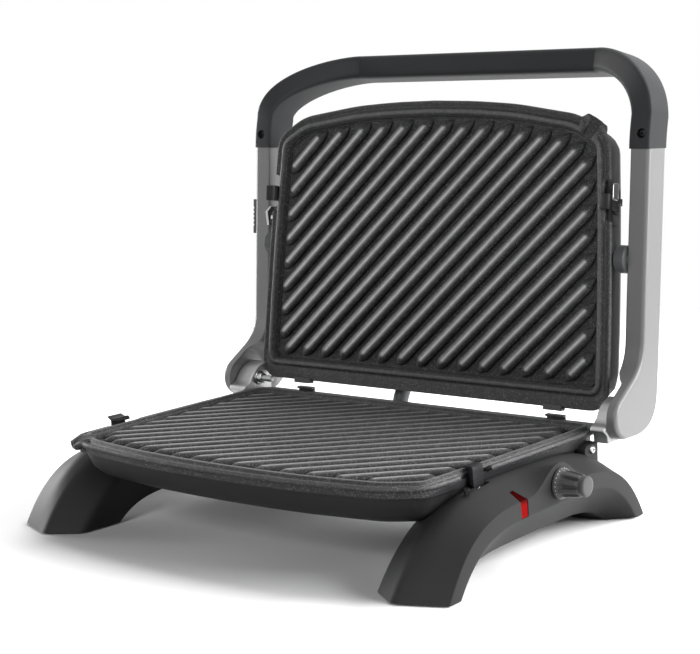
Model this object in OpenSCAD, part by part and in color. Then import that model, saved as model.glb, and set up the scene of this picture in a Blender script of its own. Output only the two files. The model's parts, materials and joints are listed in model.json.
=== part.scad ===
// Electric indoor grill with a hinged lid, shown open.
// X to the right, Y to the back, Z up; the feet stand on z = 0.

/* [Grill plates] */
// Half width of the crest line at the rear edge
plate_half_w = 157; // [150:0.5:164]
// Narrowing of each side towards the front
side_taper = 8.2; // [4:0.1:12]
// Outward bow of the sides
side_bow = 1.3; // [0:0.1:3]
// Length of the sides, from the rear crest line
side_len = 176.7; // [165:0.1:184]
// Half width where the corner chamfer ends
chamfer_x = 126.9; // [115:0.1:138]
// Depth where the corner chamfer ends
chamfer_len = 189.7; // [186:0.1:194]
// Half width where the front starts to arch
facet_x = 73.9; // [60:0.1:90]
// Depth where the front starts to arch
facet_len = 197.6; // [195:0.1:199.5]
// Depth of the crest line in the middle
plate_len = 200.8; // [200:0.1:206]
// Width of the flange outside the crest
flange_w = 8; // [7:0.1:10]
// Extra width of the flange at the rear
rear_flange = 5; // [2:0.5:6]
// Half width of the crest bead
crest_half_w = 2.2; // [1.6:0.1:2.6]
// Depth of the cooking floor below the crest
floor_depth = 6; // [4.5:0.1:6.5]
// Thickness of the floor casting
floor_t = 2.5; // [2:0.1:3]
// Depth of the skirt at the front
skirt_front = 9; // [7:0.1:10]
// Depth of the skirt at the sides and the rear
skirt_side = 5.5; // [4:0.1:6]

/* [Ribs] */
// Spacing of the ribs across the plate
rib_pitch = 19.34; // [17:0.01:24]
// Run of a rib across the plate for each unit of depth
rib_slant = 1.06; // [0.8:0.01:1.3]
// Half width of a rib at its foot
rib_foot = 3.3; // [2.4:0.1:4]
// Half width of a rib at its top
rib_top = 1.3; // [0.8:0.1:1.8]
// Height of a rib
rib_h = 5; // [3:0.1:5.4]
// Length of a rib's tapered end
rib_taper = 9; // [5:0.5:12]
// Distance from the rib tips to the crest line
rib_inset = 8; // [6:0.5:12]

/* [Base] */
// Height of the pan's underside above the table
pan_z = 36.5; // [34:0.5:38]
// Height of the pan's rim
pan_top = 55; // [53:0.5:56]
// Wall of the pan and of the housing
wall = 2.5; // [1.6:0.1:3]
// Height of the lower plate's rear crest line
lower_z = 67.6; // [66:0.1:72]
// Distance of the lower plate's rear crest line behind the frame's centre
lower_y = 53.1; // [52:0.1:54]
// Slope of the lower plate towards the front
lower_tilt = 0.75; // [0:0.05:1]

/* [Side arches] */
// How far the arches reach beyond the plate's half width
arch_reach = 30; // [29:0.5:33]
// Width of an arch at its foot
arch_w = 58; // [54:0.5:64]
// Middle of the arches in depth
arch_mid = -36.5; // [-38:0.1:-35]
// Height of the outer shoulder
shoulder_z = 46; // [44:0.1:47]
// Height of the ridge beside the pan
ridge_z = 58; // [56:0.1:59]
// Height of the tucked lower edge
tuck_z = 14.5; // [12:0.1:18]
// Half span of the outer shoulder on the table
shoulder_span = 113.3; // [108:0.1:118]
// Height of the rubber pads below the feet
pad_h = 1; // [0.8:0.1:1.5]

/* [Arms and hinge] */
// Depth of the hinge axis behind the frame's centre
hinge_y = 56.5; // [56:0.1:57.5]
// Height of the hinge axis
hinge_z = 74.5; // [74:0.1:76]
// Distance from the plate's half width to the arms
arm_gap = 13.8; // [13.6:0.1:15]
// Thickness of an arm
arm_t = 15.5; // [13:0.1:17]
// Depth of an arm
arm_depth = 24.5; // [22:0.1:26]
// Lean of the arms to the back
arm_lean = 4.5; // [3:0.1:6]
// Height where the metal arm ends and the handle starts
arm_top = 259; // [250:1:265]
// Radius of the arm's round lower end
arm_end_r = 15.5; // [14:0.1:16.5]
// Radius of the hinge bolt's shank
hinge_r = 4; // [3:0.1:4.5]
// Radial running clearance of every turning fit
run_gap = 0.05; // [0.02:0.01:0.1]
// Clearance between parts that slide past each other
slide_gap = 0.4; // [0.3:0.05:0.5]

/* [Handle] */
// Height of the middle of the grip
grip_z = 321.5; // [312:0.5:330]
// Depth of the middle of the grip
grip_y = 150.7; // [146:0.1:157]
// Height of the grip's section
grip_h = 18.9; // [17:0.1:23]
// Depth of the grip's section
grip_d = 26.4; // [22:0.1:28]
// Room that a corner of the handle takes along the grip
corner_run = 63.5; // [58:0.5:74]
// Backward lean of the grip's section
grip_lean = 8.5; // [6:0.5:24]

/* [Lid] */
// Height of the upper plate's rear crest line
upper_z = 87.6; // [87:0.1:89]
// Depth of the upper plate's rear crest line
upper_y = 64; // [63.5:0.1:65]
// Lean of the open lid to the back
lid_lean = 6.7; // [6:0.1:7]
// Depth of the lid housing behind the plate
housing_d = 33; // [30:0.5:36]
// Distance of the pivots from the rear crest line
pivot_s = 96; // [90:0.5:102]
// Depth of the pivots behind the crest
pivot_d = 13.2; // [12.5:0.1:14]
// Radius of the pivot pins
pivot_r = 4; // [3:0.1:4.5]
// Radius of the bosses between arms and lid
boss_r = 10; // [8:0.5:12]

/* [Control knob] */
// Depth of the knob's axis
knob_y = -31.3; // [-34:0.1:-28]
// Height of the knob's axis
knob_z = 48; // [47:0.1:49]
// Radius of the dial skirt
dial_r = 10.5; // [9:0.1:12]
// Radius of the knob's cap
cap_r = 6.8; // [5.5:0.1:8]
// Length of the knob
knob_l = 21.3; // [18:0.1:24]
// Number of finger flutes
flutes = 10; // [6:1:16]
// Radius of the thermostat shaft
shaft_r = 3; // [2.5:0.1:3.5]

/* [Latches and lid lock] */
// Distance of the latches from the rear crest line
latch_s = 136; // [130:0.5:142]
// Width of a latch
latch_w = 12; // [10:0.5:14]
// Thickness of a latch
latch_t = 4; // [3:0.1:4.5]
// Height of a latch above the crest
latch_h = 4.7; // [4.5:0.1:5]
// Travel of a latch
latch_travel = 3; // [2:0.1:3.2]
// Height of the lock slider's middle
lock_z = 202; // [198:0.5:206]
// Height of the lock slider
lock_h = 28; // [24:0.5:32]
// Travel of the lock
lock_travel = 7; // [6:0.5:8]

/* [Hidden] */

$fn = 48;
eps = 0.01;

// Colours
graphite = "#3a3b3d";
cast_black = "#2b2b2c";
satin_silver = "#b9babc";
bright_steel = "#d8d9da";
soft_black = "#232425";
signal_red = "#c81e1e";
grey_sheath = "#8a8c8e";
ceramic_white = "#e6e2d6";

// Widths that follow the plate
arch_out = plate_half_w + arch_reach;
arch_in = arch_out - arch_w;
arm_in = plate_half_w + arm_gap;
arm_out = arm_in + arm_t;

// Plate outlines

function unit(v) = v / norm(v);

// A closed outline moved outwards by a distance
function grown(p, d) =
    let (n = len(p))
    [for (i = [0:n - 1])
        let (u = unit(p[i] - p[(i + n - 1) % n]), v = unit(p[(i + 1) % n] - p[i]))
        p[i] + [u.y + v.y, -u.x - v.x] * d / (1 + u * v)];

// A closed outline with each corner cut back and rounded
function softened(p, cuts, steps = 4) =
    let (n = len(p))
    [for (i = [0:n - 1])
        let (a = p[i] - cuts[i] * unit(p[i] - p[(i + n - 1) % n]),
            c = p[i] + cuts[i] * unit(p[(i + 1) % n] - p[i]))
        each cuts[i] == 0 ? [p[i]]
            : [for (k = [0:steps]) let (t = k / steps)
                (1 - t) * (1 - t) * a + 2 * t * (1 - t) * p[i] + t * t * c]];

// Half width of the crest line at a depth s
function half_w(s) =
    plate_half_w - side_taper * s / side_len
    + side_bow * (1 - pow(2 * s / side_len - 1, 2));

// Crest outline in plate coordinates: rear edge on y = 0, front towards -y
side_steps = 4;
side_half = [for (k = [1:side_steps]) let (s = side_len * k / side_steps) [half_w(s), -s]];
front_arch_mid = (facet_len + 3 * plate_len) / 4;
front_half = [[chamfer_x, -chamfer_len], [facet_x, -facet_len], [facet_x / 2, -front_arch_mid]];
right_half = concat([[half_w(0), 0]], side_half, front_half);
corner_cuts = concat([14], [for (k = [2:side_steps]) 0], [6], [8, 0, 0]);
crest = softened(
    concat([for (i = [0:len(right_half) - 1]) [-right_half[i].x, right_half[i].y]],
        [[0, -plate_len]],
        [for (i = [len(right_half) - 1:-1:0]) right_half[i]]),
    concat(corner_cuts, [0], [for (i = [len(corner_cuts) - 1:-1:0]) corner_cuts[i]]), 3);

// Crest outline moved outwards, with the wider flange at the rear. Far inwards it is drawn
// together towards the middle instead, so that its round corners don't fold over.
most_inset = 4;
function rim(d) =
    let (draw = max(0, -most_inset - d), mid = -plate_len / 2,
        shrink_x = 1 - draw / plate_half_w, shrink_y = 1 - draw / (plate_len / 2))
    [for (q = grown(crest, max(d, -most_inset)))
        let (rear = max(0, min(1, 1 + q.y / 20)),
            share = max(0, min(1, (d - crest_half_w) / (flange_w - crest_half_w))))
        [q.x * shrink_x, mid + (q.y - mid) * shrink_y + rear_flange * rear * share]];

function at_height(p, z) = [for (q = p) [q.x, q.y, z]];

// Solid through a stack of equal rings, each running anticlockwise seen from the last one
module loft(rings) {
    n = len(rings[0]);
    m = len(rings);
    polyhedron(
        points = [for (ring = rings) each ring],
        faces = concat(
            [[for (i = [0:n - 1]) i]],
            [[for (i = [n - 1:-1:0]) (m - 1) * n + i]],
            ring_faces(n, m, m - 1)),
        convexity = 8);
}

// Closed band through rings that run round a loop
module hoop(rings) {
    n = len(rings[0]);
    m = len(rings);
    polyhedron(points = [for (ring = rings) each ring], faces = ring_faces(n, m, m),
        convexity = 8);
}

function ring_faces(n, m, count) =
    [for (k = [0:count - 1], i = [0:n - 1])
        let (j = (i + 1) % n, a = k * n, b = ((k + 1) % m) * n)
        each [[a + i, b + i, b + j], [a + i, b + j, a + j]]];

// Placing of what lies in the lower and in the upper plate's coordinates
module at_lower() translate([0, lower_y, lower_z]) rotate([lower_tilt, 0, 0]) children();
module at_upper()
    translate([0, upper_y, upper_z]) rotate([-90 - lid_lean, 0, 0]) rotate([0, 180, 0]) children();
module both_sides() {
    children();
    mirror([1, 0, 0]) children();
}

// Plate casting

flange_t = 2.5;
flange_under = crest_half_w + flange_t + 0.3;
under_h = -floor_depth - floor_t;
belly_d = -6;

// Section of the plate's border: distance from the crest line and height, over and back under
function border_section(skirt) = [
    [-7, -floor_depth], [-4.6, -floor_depth], [-crest_half_w, -1.2], [-1, 0], [1, 0],
    [crest_half_w, -1.2], [3.2, -2.8], [5, -2.8], [5.8, -1.3], [flange_w - 0.5, -1.3],
    [flange_w, -1.9], [flange_w, -skirt], [flange_w - 1.8, -skirt],
    [flange_w - 1.8, -flange_under], [belly_d + 1, -flange_under], [belly_d, under_h], [-7, under_h]];

module plate_border() {
    sections = border_section(0);
    rims = [for (q = sections) rim(q[0])];
    hoop([for (i = [0:len(crest) - 1])
        let (front = max(0, min(1, (-rims[0][i].y - side_len) / 8 + 1)),
            section = border_section(skirt_side + (skirt_front - skirt_side) * front))
        [for (k = [0:len(section) - 1]) [rims[k][i].x, rims[k][i].y, section[k][1]]]]);
}

// Stretch of the line p + t v inside a convex outline
function inside_span(p, v, region) =
    let (n = len(region),
        cuts = [for (i = [0:n - 1])
            let (a = region[i], e = region[(i + 1) % n] - a, normal = [e.y, -e.x])
            [normal * v, normal * (a - p)]],
        enter = max([for (c = cuts) if (c[0] < -eps) c[1] / c[0]]),
        leave = min([for (c = cuts) if (c[0] > eps) c[1] / c[0]]))
    [enter, leave];

rib_dir = unit([rib_slant, 1]);
rib_region = rim(-rib_inset);
rib_first = -plate_half_w - plate_len * rib_slant / 2;
rib_count = ceil((2 * plate_half_w + plate_len * rib_slant) / rib_pitch);
rib_shift = 6.2;
least_rib = 2 * rib_taper;

// One rib from a to b, pointed at both ends
module rib(a, b) {
    v = unit(b - a);
    w = [-v.y, v.x];
    foot = -floor_depth - 1;
    top = rib_h - floor_depth;
    slope = rib_foot - rib_top;
    outline_low = [a, a + v * rib_taper - w * rib_foot, b - v * rib_taper - w * rib_foot,
        b, b - v * rib_taper + w * rib_foot, a + v * rib_taper + w * rib_foot];
    a2 = a + v * slope * 1.8;
    b2 = b - v * slope * 1.8;
    outline_top = [a2, a2 + v * rib_taper - w * rib_top, b2 - v * rib_taper - w * rib_top,
        b2, b2 - v * rib_taper + w * rib_top, a2 + v * rib_taper + w * rib_top];
    loft([at_height(outline_low, foot), at_height(outline_top, top)]);
}

module ribs() {
    for (k = [0:rib_count]) {
        p = [-(rib_first + rib_shift + k * rib_pitch), -plate_len / 2];
        span = inside_span(p, rib_dir, rib_region);
        if (span[1] - span[0] > least_rib)
            rib(p + span[0] * rib_dir, p + span[1] * rib_dir);
    }
}

// Pouring spout on the left front corner
spout_w = 22;
spout_l = 11;
channel_w = 11;
spout_at = [-(half_w(side_len) + chamfer_x) / 2, -(side_len + chamfer_len) / 2];
module spout_lip()
    translate([spout_at.x, spout_at.y, -flange_under])
        rotate([0, 0, -139])
            linear_extrude(flange_under - 0.4)
                polygon([[0, -spout_w / 2], [flange_w, -spout_w / 2], [spout_l, -spout_w / 3],
                    [spout_l, spout_w / 3], [flange_w, spout_w / 2], [0, spout_w / 2]]);
module spout_channel()
    translate([spout_at.x, spout_at.y, -3.6])
        rotate([0, 0, -139])
            translate([-5, -channel_w / 2, 0])
                cube([spout_l + 6, channel_w, 5]);

// Notches in the flange, where the latch and the clip hold the plate
notch_w = latch_w + 16;
module flange_notch(side)
    translate([side * (half_w(latch_s) + crest_half_w + 0.4 + 10), -latch_s, 0])
        cube([20, notch_w, 2 * skirt_front + 4], center = true);

// Locating tabs on the rear flange
tab_x = plate_half_w - 37;
module rear_tabs()
    for (x = [-tab_x, tab_x])
        translate([x - 8, flange_w + rear_flange - 2.5, -flange_under])
            cube([16, 4.5, flange_under + 1.2]);

module grill_plate()
    difference() {
        union() {
            plate_border();
            translate([0, 0, under_h]) linear_extrude(floor_t) polygon(rim(belly_d - 0.5));
            ribs();
            spout_lip();
            rear_tabs();
        }
        spout_channel();
        flange_notch(1);
        flange_notch(-1);
    }

module lower_plate() color(cast_black) at_lower() grill_plate();
module upper_plate() color(cast_black) at_upper() grill_plate();

// Base

// Outlines of the pan from the underside up: distance from the crest line and height
pan_profile = [[-13, pan_z], [-7, pan_z + 2.5], [-1, pan_z + 8], [3, pan_top]];
deck_d = 4.5;
opening_d = -3.6;
function base_ring(d, z) = [for (q = rim(d)) [q.x, q.y + lower_y, z]];

module pan_outer() loft([for (q = pan_profile) base_ring(q[0], q[1])]);
module pan_inner()
    loft([for (i = [0:len(pan_profile) - 1])
        let (q = pan_profile[i])
        base_ring(q[0] - wall, i == len(pan_profile) - 1 ? q[1] + 1 : q[1] + wall)]);

// Box at the rear for the mains terminals and the lead
box_w = 90;
box_d = 26;
box_y = lower_y + rear_flange;
box_top = pan_top;
module rear_box(grow)
    translate([-box_w / 2 - grow, box_y - 8, pan_z + 1.5 - grow])
        cube([box_w + 2 * grow, box_d + 8 + grow, box_top - pan_z - 1.5 + grow]);

gland_r = 6;
lead_r = 6;
lead_x = -30;
lead_hole_y = box_y + box_d - 10;
gland_z = pan_z + 10;

module base_pan() {
    color(graphite)
    difference() {
        union() {
            pan_outer();
            rear_box(0);
        }
        pan_inner();
        translate([-box_w / 2 + wall, box_y - 14, pan_z + 1.5 + wall])
            cube([box_w - 2 * wall, box_d + 14 - wall, box_top - pan_z - 1.5 - 2 * wall]);
        translate([0, box_y + box_d + 1, gland_z]) rotate([90, 0, 0]) cylinder(r = gland_r, h = 10);
        translate([lead_x, lead_hole_y, box_top - 2 * wall]) cylinder(r = lead_r + 1.5, h = 3 * wall);
        thermostat_bore(wall_clear = 1);
    }
}

// Everything that the arches leave free for the pan and the deck
module base_core() {
    pan_outer();
    translate([0, 0, pan_top - eps])
        linear_extrude(lower_z - pan_top) translate([0, lower_y]) polygon(rim(deck_d));
}

module deck_core(d)
    intersection() {
        translate([0, 0, pan_top])
            linear_extrude(20) translate([0, lower_y]) polygon(rim(d));
        at_lower() translate([0, -plate_len / 2, -flange_under - 20])
            cube([600, 600, 40], center = true);
    }

module base_deck() {
    color(graphite)
    difference() {
        deck_core(deck_d);
        translate([0, 0, pan_top - 1])
            linear_extrude(25) translate([0, lower_y]) polygon(rim(opening_d));
    }
}

// Side arches: each edge runs from foot to foot as a flattened curve
// half spans on the table, heights and flatness of the edges, from the inside round the section
foot_spans = [79.5, 111.5, 125.5, 121.3, shoulder_span, shoulder_span - 11.5, shoulder_span - 25.5];
edge_x = [arch_in, arch_in + 1, arch_in + 24, arch_out - 22, arch_out, arch_out, arch_out - 17];
edge_z = [tuck_z + 2, shoulder_z, ridge_z - 3, ridge_z, shoulder_z, shoulder_z - 11, tuck_z];
edge_flat = [4.6, 3.3, 3.7, 4, 4.6, 4.6, 5];
foot_z = pad_h;
arch_step = 6;

function arch_section(t) =
    [for (k = [0:len(edge_x) - 1])
        [edge_x[k], arch_mid + foot_spans[k] * t,
            foot_z + (edge_z[k] - foot_z) * (1 - pow(abs(t), edge_flat[k]))]];

module arch_shell() loft([for (turn = [-90:arch_step:90]) arch_section(sin(turn))]);

// Corner of the arch under the hinge bracket
corner_top = 57.3;
corner_front = hinge_y - 18.5;
corner_back = hinge_y - 8.5;
corner_out = arm_in - 0.3;
module arch_corner()
    translate([arch_in, 0, 0])
        rotate([90, 0, 90])
            linear_extrude(corner_out - arch_in)
                polygon([[corner_front - 6, 38], [corner_back, 30], [corner_back, corner_top],
                    [corner_front, corner_top], [corner_front - 6, corner_top - 7]]);

// Raised mount of the knob, a bell-shaped swell of the shoulder
pod_rise = 16;
pod_half = 33;
pod_in = arch_out - 21;
module knob_pod()
    translate([pod_in, 0, 0])
        rotate([90, 0, 90])
            linear_extrude(arch_out - pod_in)
                polygon(concat([[knob_y - pod_half, shoulder_z - 10]],
                    [[knob_y + pod_half, shoulder_z - 10]],
                    [for (k = [6:-1:-6])
                        [knob_y + pod_half * k / 6,
                            shoulder_z + pod_rise * (1 + cos(30 * k)) / 2]]));

module thermostat_bore(wall_clear = 0)
    translate([arch_in + 1, knob_y, knob_z]) rotate([0, 90, 0])
        cylinder(r = shaft_r + run_gap + wall_clear, h = arch_w + 10);

// Opening of the pilot window, a strip that folds over the shoulder
window_front = -75.4;
window_back = -67.6;
window_low = shoulder_z - 11.2;
window_high = shoulder_z + 5.5;
window_in = arch_out - 10;
module window_prism(gap)
    translate([window_in - gap, 0, 0])
        rotate([90, 0, 90])
            linear_extrude(20)
                polygon(grown([[window_front + 1, window_low], [window_back, window_low],
                    [window_back - 0.6, shoulder_z], [window_back - 4, window_high],
                    [window_front + 1.4, window_high], [window_front, shoulder_z]], gap));

lamp_r = 3;
lamp_y = (window_front + window_back) / 2;
lamp_z = shoulder_z - 6;
lamp_l = 14;

module latch_pocket(travel)
    translate([latch_x0 - slide_gap, -latch_s - latch_w / 2 - slide_gap, latch_foot_h - slide_gap])
        cube([latch_t + travel + 2 * slide_gap, latch_w + 2 * slide_gap, 30]);
module spring_bore()
    translate([latch_x0, -latch_s, spring_h]) rotate([0, 90, 0])
        cylinder(r = spring_r + 0.4, h = latch_t + spring_l);

module arch_blank() {
    arch_shell();
    arch_corner();
}

module arch_right() {
    color(graphite)
    difference() {
        union() {
            arch_blank();
            knob_pod();
        }
        base_core();
        at_lower() latch_pocket(latch_travel);
        thermostat_bore();
        window_prism(0.1);
        translate([window_in - lamp_l - 1, lamp_y, lamp_z])
            rotate([0, 90, 0]) cylinder(r = lamp_r + 0.1, h = lamp_l + 1.5);
        at_lower() spring_bore();
        bracket_screw_bore();
        latch_screw_bore();
    }
}
module arch_left() {
    color(graphite)
    difference() {
        mirror([1, 0, 0])
            difference() {
                arch_blank();
                bracket_screw_bore();
                at_lower() latch_pocket(0);
            }
        base_core();
    }
}

pad_inset = 5;
module foot_pads() {
    color(soft_black)
    both_sides()
        for (end = [-1, 1]) {
            ring = [for (q = arch_section(end)) [q.x, q.y]];
            outline = end < 0 ? ring : [for (i = [len(ring) - 1:-1:0]) ring[i]];
            linear_extrude(foot_z) polygon(grown(outline, -pad_inset));
        }
}

module pilot_window() {
    color(signal_red)
    intersection() {
        arch_shell();
        window_prism(0);
    }
}

module pilot_lamp() {
    color("orange")
    translate([window_in - lamp_l - 0.5, lamp_y, lamp_z]) rotate([0, 90, 0]) {
        cylinder(r = lamp_r, h = lamp_l - lamp_r);
        translate([0, 0, lamp_l - lamp_r]) sphere(r = lamp_r);
    }
}

// Heating

tray_d = -34;
tray_h = -20;
tray_t = 1;
heater_r = 3.2;
heater_gap = 2.7;
heater_h = under_h - heater_gap - heater_r;
heater_turn_r = 46;
heater_half = plate_half_w - 85;
heater_y = -plate_len / 2;

// Pressed tray below a heater, hung from the deck by its rim
module reflector_tray(rim_h)
    difference() {
        union() {
            loft([at_height(rim(tray_d), tray_h),
                at_height(rim(tray_d + 4), rim_h - tray_t)]);
            translate([0, 0, rim_h - tray_t]) linear_extrude(tray_t) polygon(rim(-0.8));
        }
        loft([at_height(rim(tray_d - tray_t), tray_h + tray_t),
            at_height(rim(tray_d + 4 - tray_t), rim_h + eps)]);
    }

// Posts of the tray that carry the tube
module heater_posts()
    for (x = [-heater_half, heater_half], y = [-heater_turn_r, heater_turn_r])
        translate([x, heater_y + y, tray_h + tray_t - eps])
            cylinder(r = 3, h = heater_h - heater_r - tray_h - tray_t + eps);

module heater_tube() {
    for (side = [-1, 1]) {
        translate([side * heater_half, heater_y, heater_h])
            rotate([0, 0, side > 0 ? -90 : 90])
                rotate_extrude(angle = 180) translate([heater_turn_r, 0]) circle(r = heater_r, $fn = 24);
        for (y = [-heater_turn_r, heater_turn_r])
            if (side > 0 || y < 0)
                translate([-heater_half, heater_y + y, heater_h]) rotate([0, 90, 0])
                    cylinder(r = heater_r, h = 2 * heater_half, $fn = 24);
    }
}

deck_under = pan_top - lower_z;
module lower_reflector() {
    color(bright_steel)
    translate([0, lower_y, lower_z]) {
        reflector_tray(deck_under);
        heater_posts();
    }
}
module lower_heater() color(grey_sheath) translate([0, lower_y, lower_z]) heater_tube();

// Controls

thermo_x = [arch_in - 0.5, arch_in + 9.5];
thermo_w = 26;
pan_floor = pan_z + wall;
module thermostat() {
    color(ceramic_white)
    difference() {
        translate([thermo_x[0], knob_y - thermo_w / 2, pan_floor])
            cube([thermo_x[1] - thermo_x[0], thermo_w, pan_top - pan_floor - 2]);
        translate([thermo_x[1] - 8, knob_y, knob_z]) rotate([0, 90, 0])
            cylinder(r = shaft_r + run_gap, h = 10);
    }
}

shaft_tip = arch_out + 10;
module thermostat_shaft() {
    color(bright_steel)
    translate([thermo_x[1] - 7.5, knob_y, knob_z]) rotate([0, 90, 0])
        cylinder(r = shaft_r, h = shaft_tip - thermo_x[1] + 7.5);
}

knob_gap = 0.3;
skirt_l = 3;
flute_r = 2.2;
module control_knob() {
    color(soft_black)
    translate([arch_out + knob_gap, knob_y, knob_z]) rotate([0, 90, 0])
        difference() {
            rotate_extrude()
                polygon([[0, 0], [dial_r, 0], [dial_r, skirt_l - 0.8], [dial_r - 1, skirt_l],
                    [dial_r - 1.6, skirt_l + 0.6], [cap_r + 0.8, knob_l - 4], [cap_r, knob_l - 3.2],
                    [cap_r, knob_l - 0.8], [cap_r - 0.8, knob_l], [0, knob_l]]);
            translate([0, 0, -eps]) cylinder(r = shaft_r, h = shaft_tip - arch_out - knob_gap + eps);
            for (k = [0:flutes - 1])
                rotate([0, 0, 360 * k / flutes])
                    translate([dial_r + 0.3, 0, skirt_l + 0.6])
                        rotate([0, -9, 0]) cylinder(r = flute_r, h = knob_l - 7.5, $fn = 24);
        }
}

module terminal_block() {
    color(ceramic_white)
    difference() {
        translate([20, box_y - 5, pan_z + 1.5 + wall]) cube([20, 12, 10]);
        for (x = [25, 35])
            translate([x, box_y + 1, pan_z + 4]) cylinder(r = 1.5, h = 20);
    }
}

module cord_gland() {
    color(soft_black)
    translate([0, box_y + box_d, gland_z]) rotate([90, 0, 0])
        difference() {
            union() {
                translate([0, 0, -3]) cylinder(r = gland_r + 2.5, h = 3);
                cylinder(r = gland_r, h = 6);
            }
            translate([0, 0, -4]) cylinder(r = 3.6, h = 12);
        }
}

foot_screw_x = plate_half_w - 67;
foot_screw_y = [lower_y - 123, lower_y - 43];
module base_screws() {
    color(bright_steel)
    for (x = [-foot_screw_x, foot_screw_x], y = foot_screw_y)
        translate([x, y, pan_z]) {
            translate([0, 0, -1.6]) cylinder(r1 = 2.6, r2 = 3.4, h = 1.6);
        }
}

// Latches: a sliding catch whose nose reaches over the plate's crest

latch_x0 = half_w(latch_s) + 5;
latch_foot_h = -17;
nose_reach = 4.6;
spring_h = -13.5;
spring_r = 2.2;
spring_l = 6;
spring_wire = 0.45;
spring_turns = 5;

module catch_shape()
    translate([latch_x0, -latch_s + latch_w / 2, 0])
        rotate([90, 0, 0])
            linear_extrude(latch_w)
                polygon([[0, latch_foot_h], [latch_t, latch_foot_h], [latch_t, latch_h - 1],
                    [latch_t - 1, latch_h], [-nose_reach + 1, latch_h], [-nose_reach, latch_h - 2],
                    [-nose_reach, 0.8], [0, 0.8]]);

// Spring as one wound wire, pressing the catch inwards
module spring_wire_shape() {
    sides = 6;
    per_turn = 10;
    steps = spring_turns * per_turn;
    loft([for (k = [0:steps])
        let (turn = 360 * k / per_turn,
            x = latch_x0 + latch_t + spring_wire + 0.1 + (spring_l - 2 * spring_wire - 0.2) * k / steps,
            out = [0, cos(turn), sin(turn)])
        [for (j = [0:sides - 1])
            let (a = -360 * j / sides)
            [x, -latch_s, spring_h] + out * (spring_r - spring_wire + spring_wire * cos(a))
                + [spring_wire * sin(a), 0, 0]]]);
}

module latch_lower() color(bright_steel) at_lower() catch_shape();
module latch_spring_lower() color(bright_steel) at_lower() spring_wire_shape();
module clip_lower() color(soft_black) mirror([1, 0, 0]) at_lower() catch_shape();

latch_screw_x = arch_out - 24;
latch_screw_y = -99;
latch_screw_z = ridge_z - 12;
module latch_screw_bore()
    translate([latch_screw_x, latch_screw_y, latch_screw_z - 1]) cylinder(r = 1.5, h = 20);
module latch_screw() {
    color(bright_steel)
    translate([latch_screw_x, latch_screw_y, latch_screw_z]) {
        cylinder(r = 1.45, h = 10);
        translate([0, 0, 9.9]) cylinder(r = 2.6, h = 1.6);
    }
}

// Hinge

bracket_out = arm_in - 0.4;
bracket_in = bracket_out - 4.8;
bracket_outline = concat([for (y = [-12.3, 3.5, 15.5]) [hinge_y + y, corner_top]],
    [for (q = [[16, -0.5], [13.5, 6.5], [10.3, 8.5], [0.6, 5.7], [-4.1, 2.5], [-8.1, -3.1],
        [-16.3, -5], [-17.6, -8], [-12.4, -11.8]]) [hinge_y + q.x, hinge_z + q.y]]);

module hinge_bracket_right() {
    color(bright_steel)
    difference() {
        translate([bracket_in, 0, 0]) rotate([90, 0, 90])
            linear_extrude(bracket_out - bracket_in) polygon(bracket_outline);
        hinge_bore();
    }
}
module hinge_bracket_left() mirror([1, 0, 0]) hinge_bracket_right();

module hinge_bore()
    translate([0, hinge_y, hinge_z]) rotate([0, 90, 0])
        cylinder(r = hinge_r + run_gap, h = arm_out - 3);

bolt_head = [bracket_in - 5.6, bracket_in - 0.4];
spigot_in = bolt_head[0] - 18;
spigot_r = 1.6;
module hinge_bolts() {
    color(bright_steel)
    both_sides()
        translate([0, hinge_y, hinge_z]) rotate([0, 90, 0]) {
            translate([0, 0, bolt_head[1] - eps]) cylinder(r = hinge_r, h = arm_out - 3.2 - bolt_head[1]);
            translate([0, 0, bolt_head[0]]) cylinder(r = 4.2, h = bolt_head[1] - bolt_head[0]);
            translate([0, 0, spigot_in]) cylinder(r = spigot_r, h = bolt_head[0] - spigot_in + eps);
        }
}
module stop_sleeves() {
    color(bright_steel)
    both_sides()
        translate([spigot_in, hinge_y, hinge_z]) rotate([0, 90, 0])
            difference() {
                cylinder(r = spigot_r + 1, h = bolt_head[0] - spigot_in - 0.2);
                translate([0, 0, -1]) cylinder(r = spigot_r, h = bolt_head[0] - spigot_in + 2);
            }
}

bracket_screw = [hinge_y - 11.1, corner_top - 4.3];
module bracket_screw_bore()
    translate([corner_out - 8, bracket_screw[0], bracket_screw[1]]) rotate([0, 90, 0])
        cylinder(r = 1.5, h = 20);
module bracket_screws() {
    color(bright_steel)
    both_sides()
        translate([corner_out, bracket_screw[0], bracket_screw[1]]) rotate([0, 90, 0]) {
            translate([0, 0, -7]) cylinder(r = 1.45, h = 7);
            cylinder(r = 3, h = 1.8);
        }
}

// Arms and handle

arm_ref_z = hinge_z + 25.5;
arm_ref_y = hinge_y + 33.7;
function arm_mid_y(z) = arm_ref_y + (z - arm_ref_z) * tan(arm_lean);
arm_half_d = arm_depth / 2 / cos(arm_lean);

arm_knee_z = hinge_z + 33.5;
heel_z = hinge_z - 16.3;
heel_y = hinge_y + 42;
calf_z = hinge_z + 28;
module arm_profile() {
    polygon(softened([
        [arm_mid_y(arm_top) - arm_half_d, arm_top],
        [arm_mid_y(arm_knee_z) - arm_half_d, arm_knee_z],
        [hinge_y - arm_end_r * 0.6, hinge_z + arm_end_r * 0.8],
        [hinge_y - arm_end_r * 0.3, hinge_z - arm_end_r * 0.95],
        [heel_y, heel_z],
        [arm_mid_y(calf_z) + arm_half_d, calf_z],
        [arm_mid_y(arm_top) + arm_half_d, arm_top]], [0, 14, 0, 0, 28, 10, 0], 6));
    translate([hinge_y, hinge_z]) circle(r = arm_end_r);
}

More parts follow.
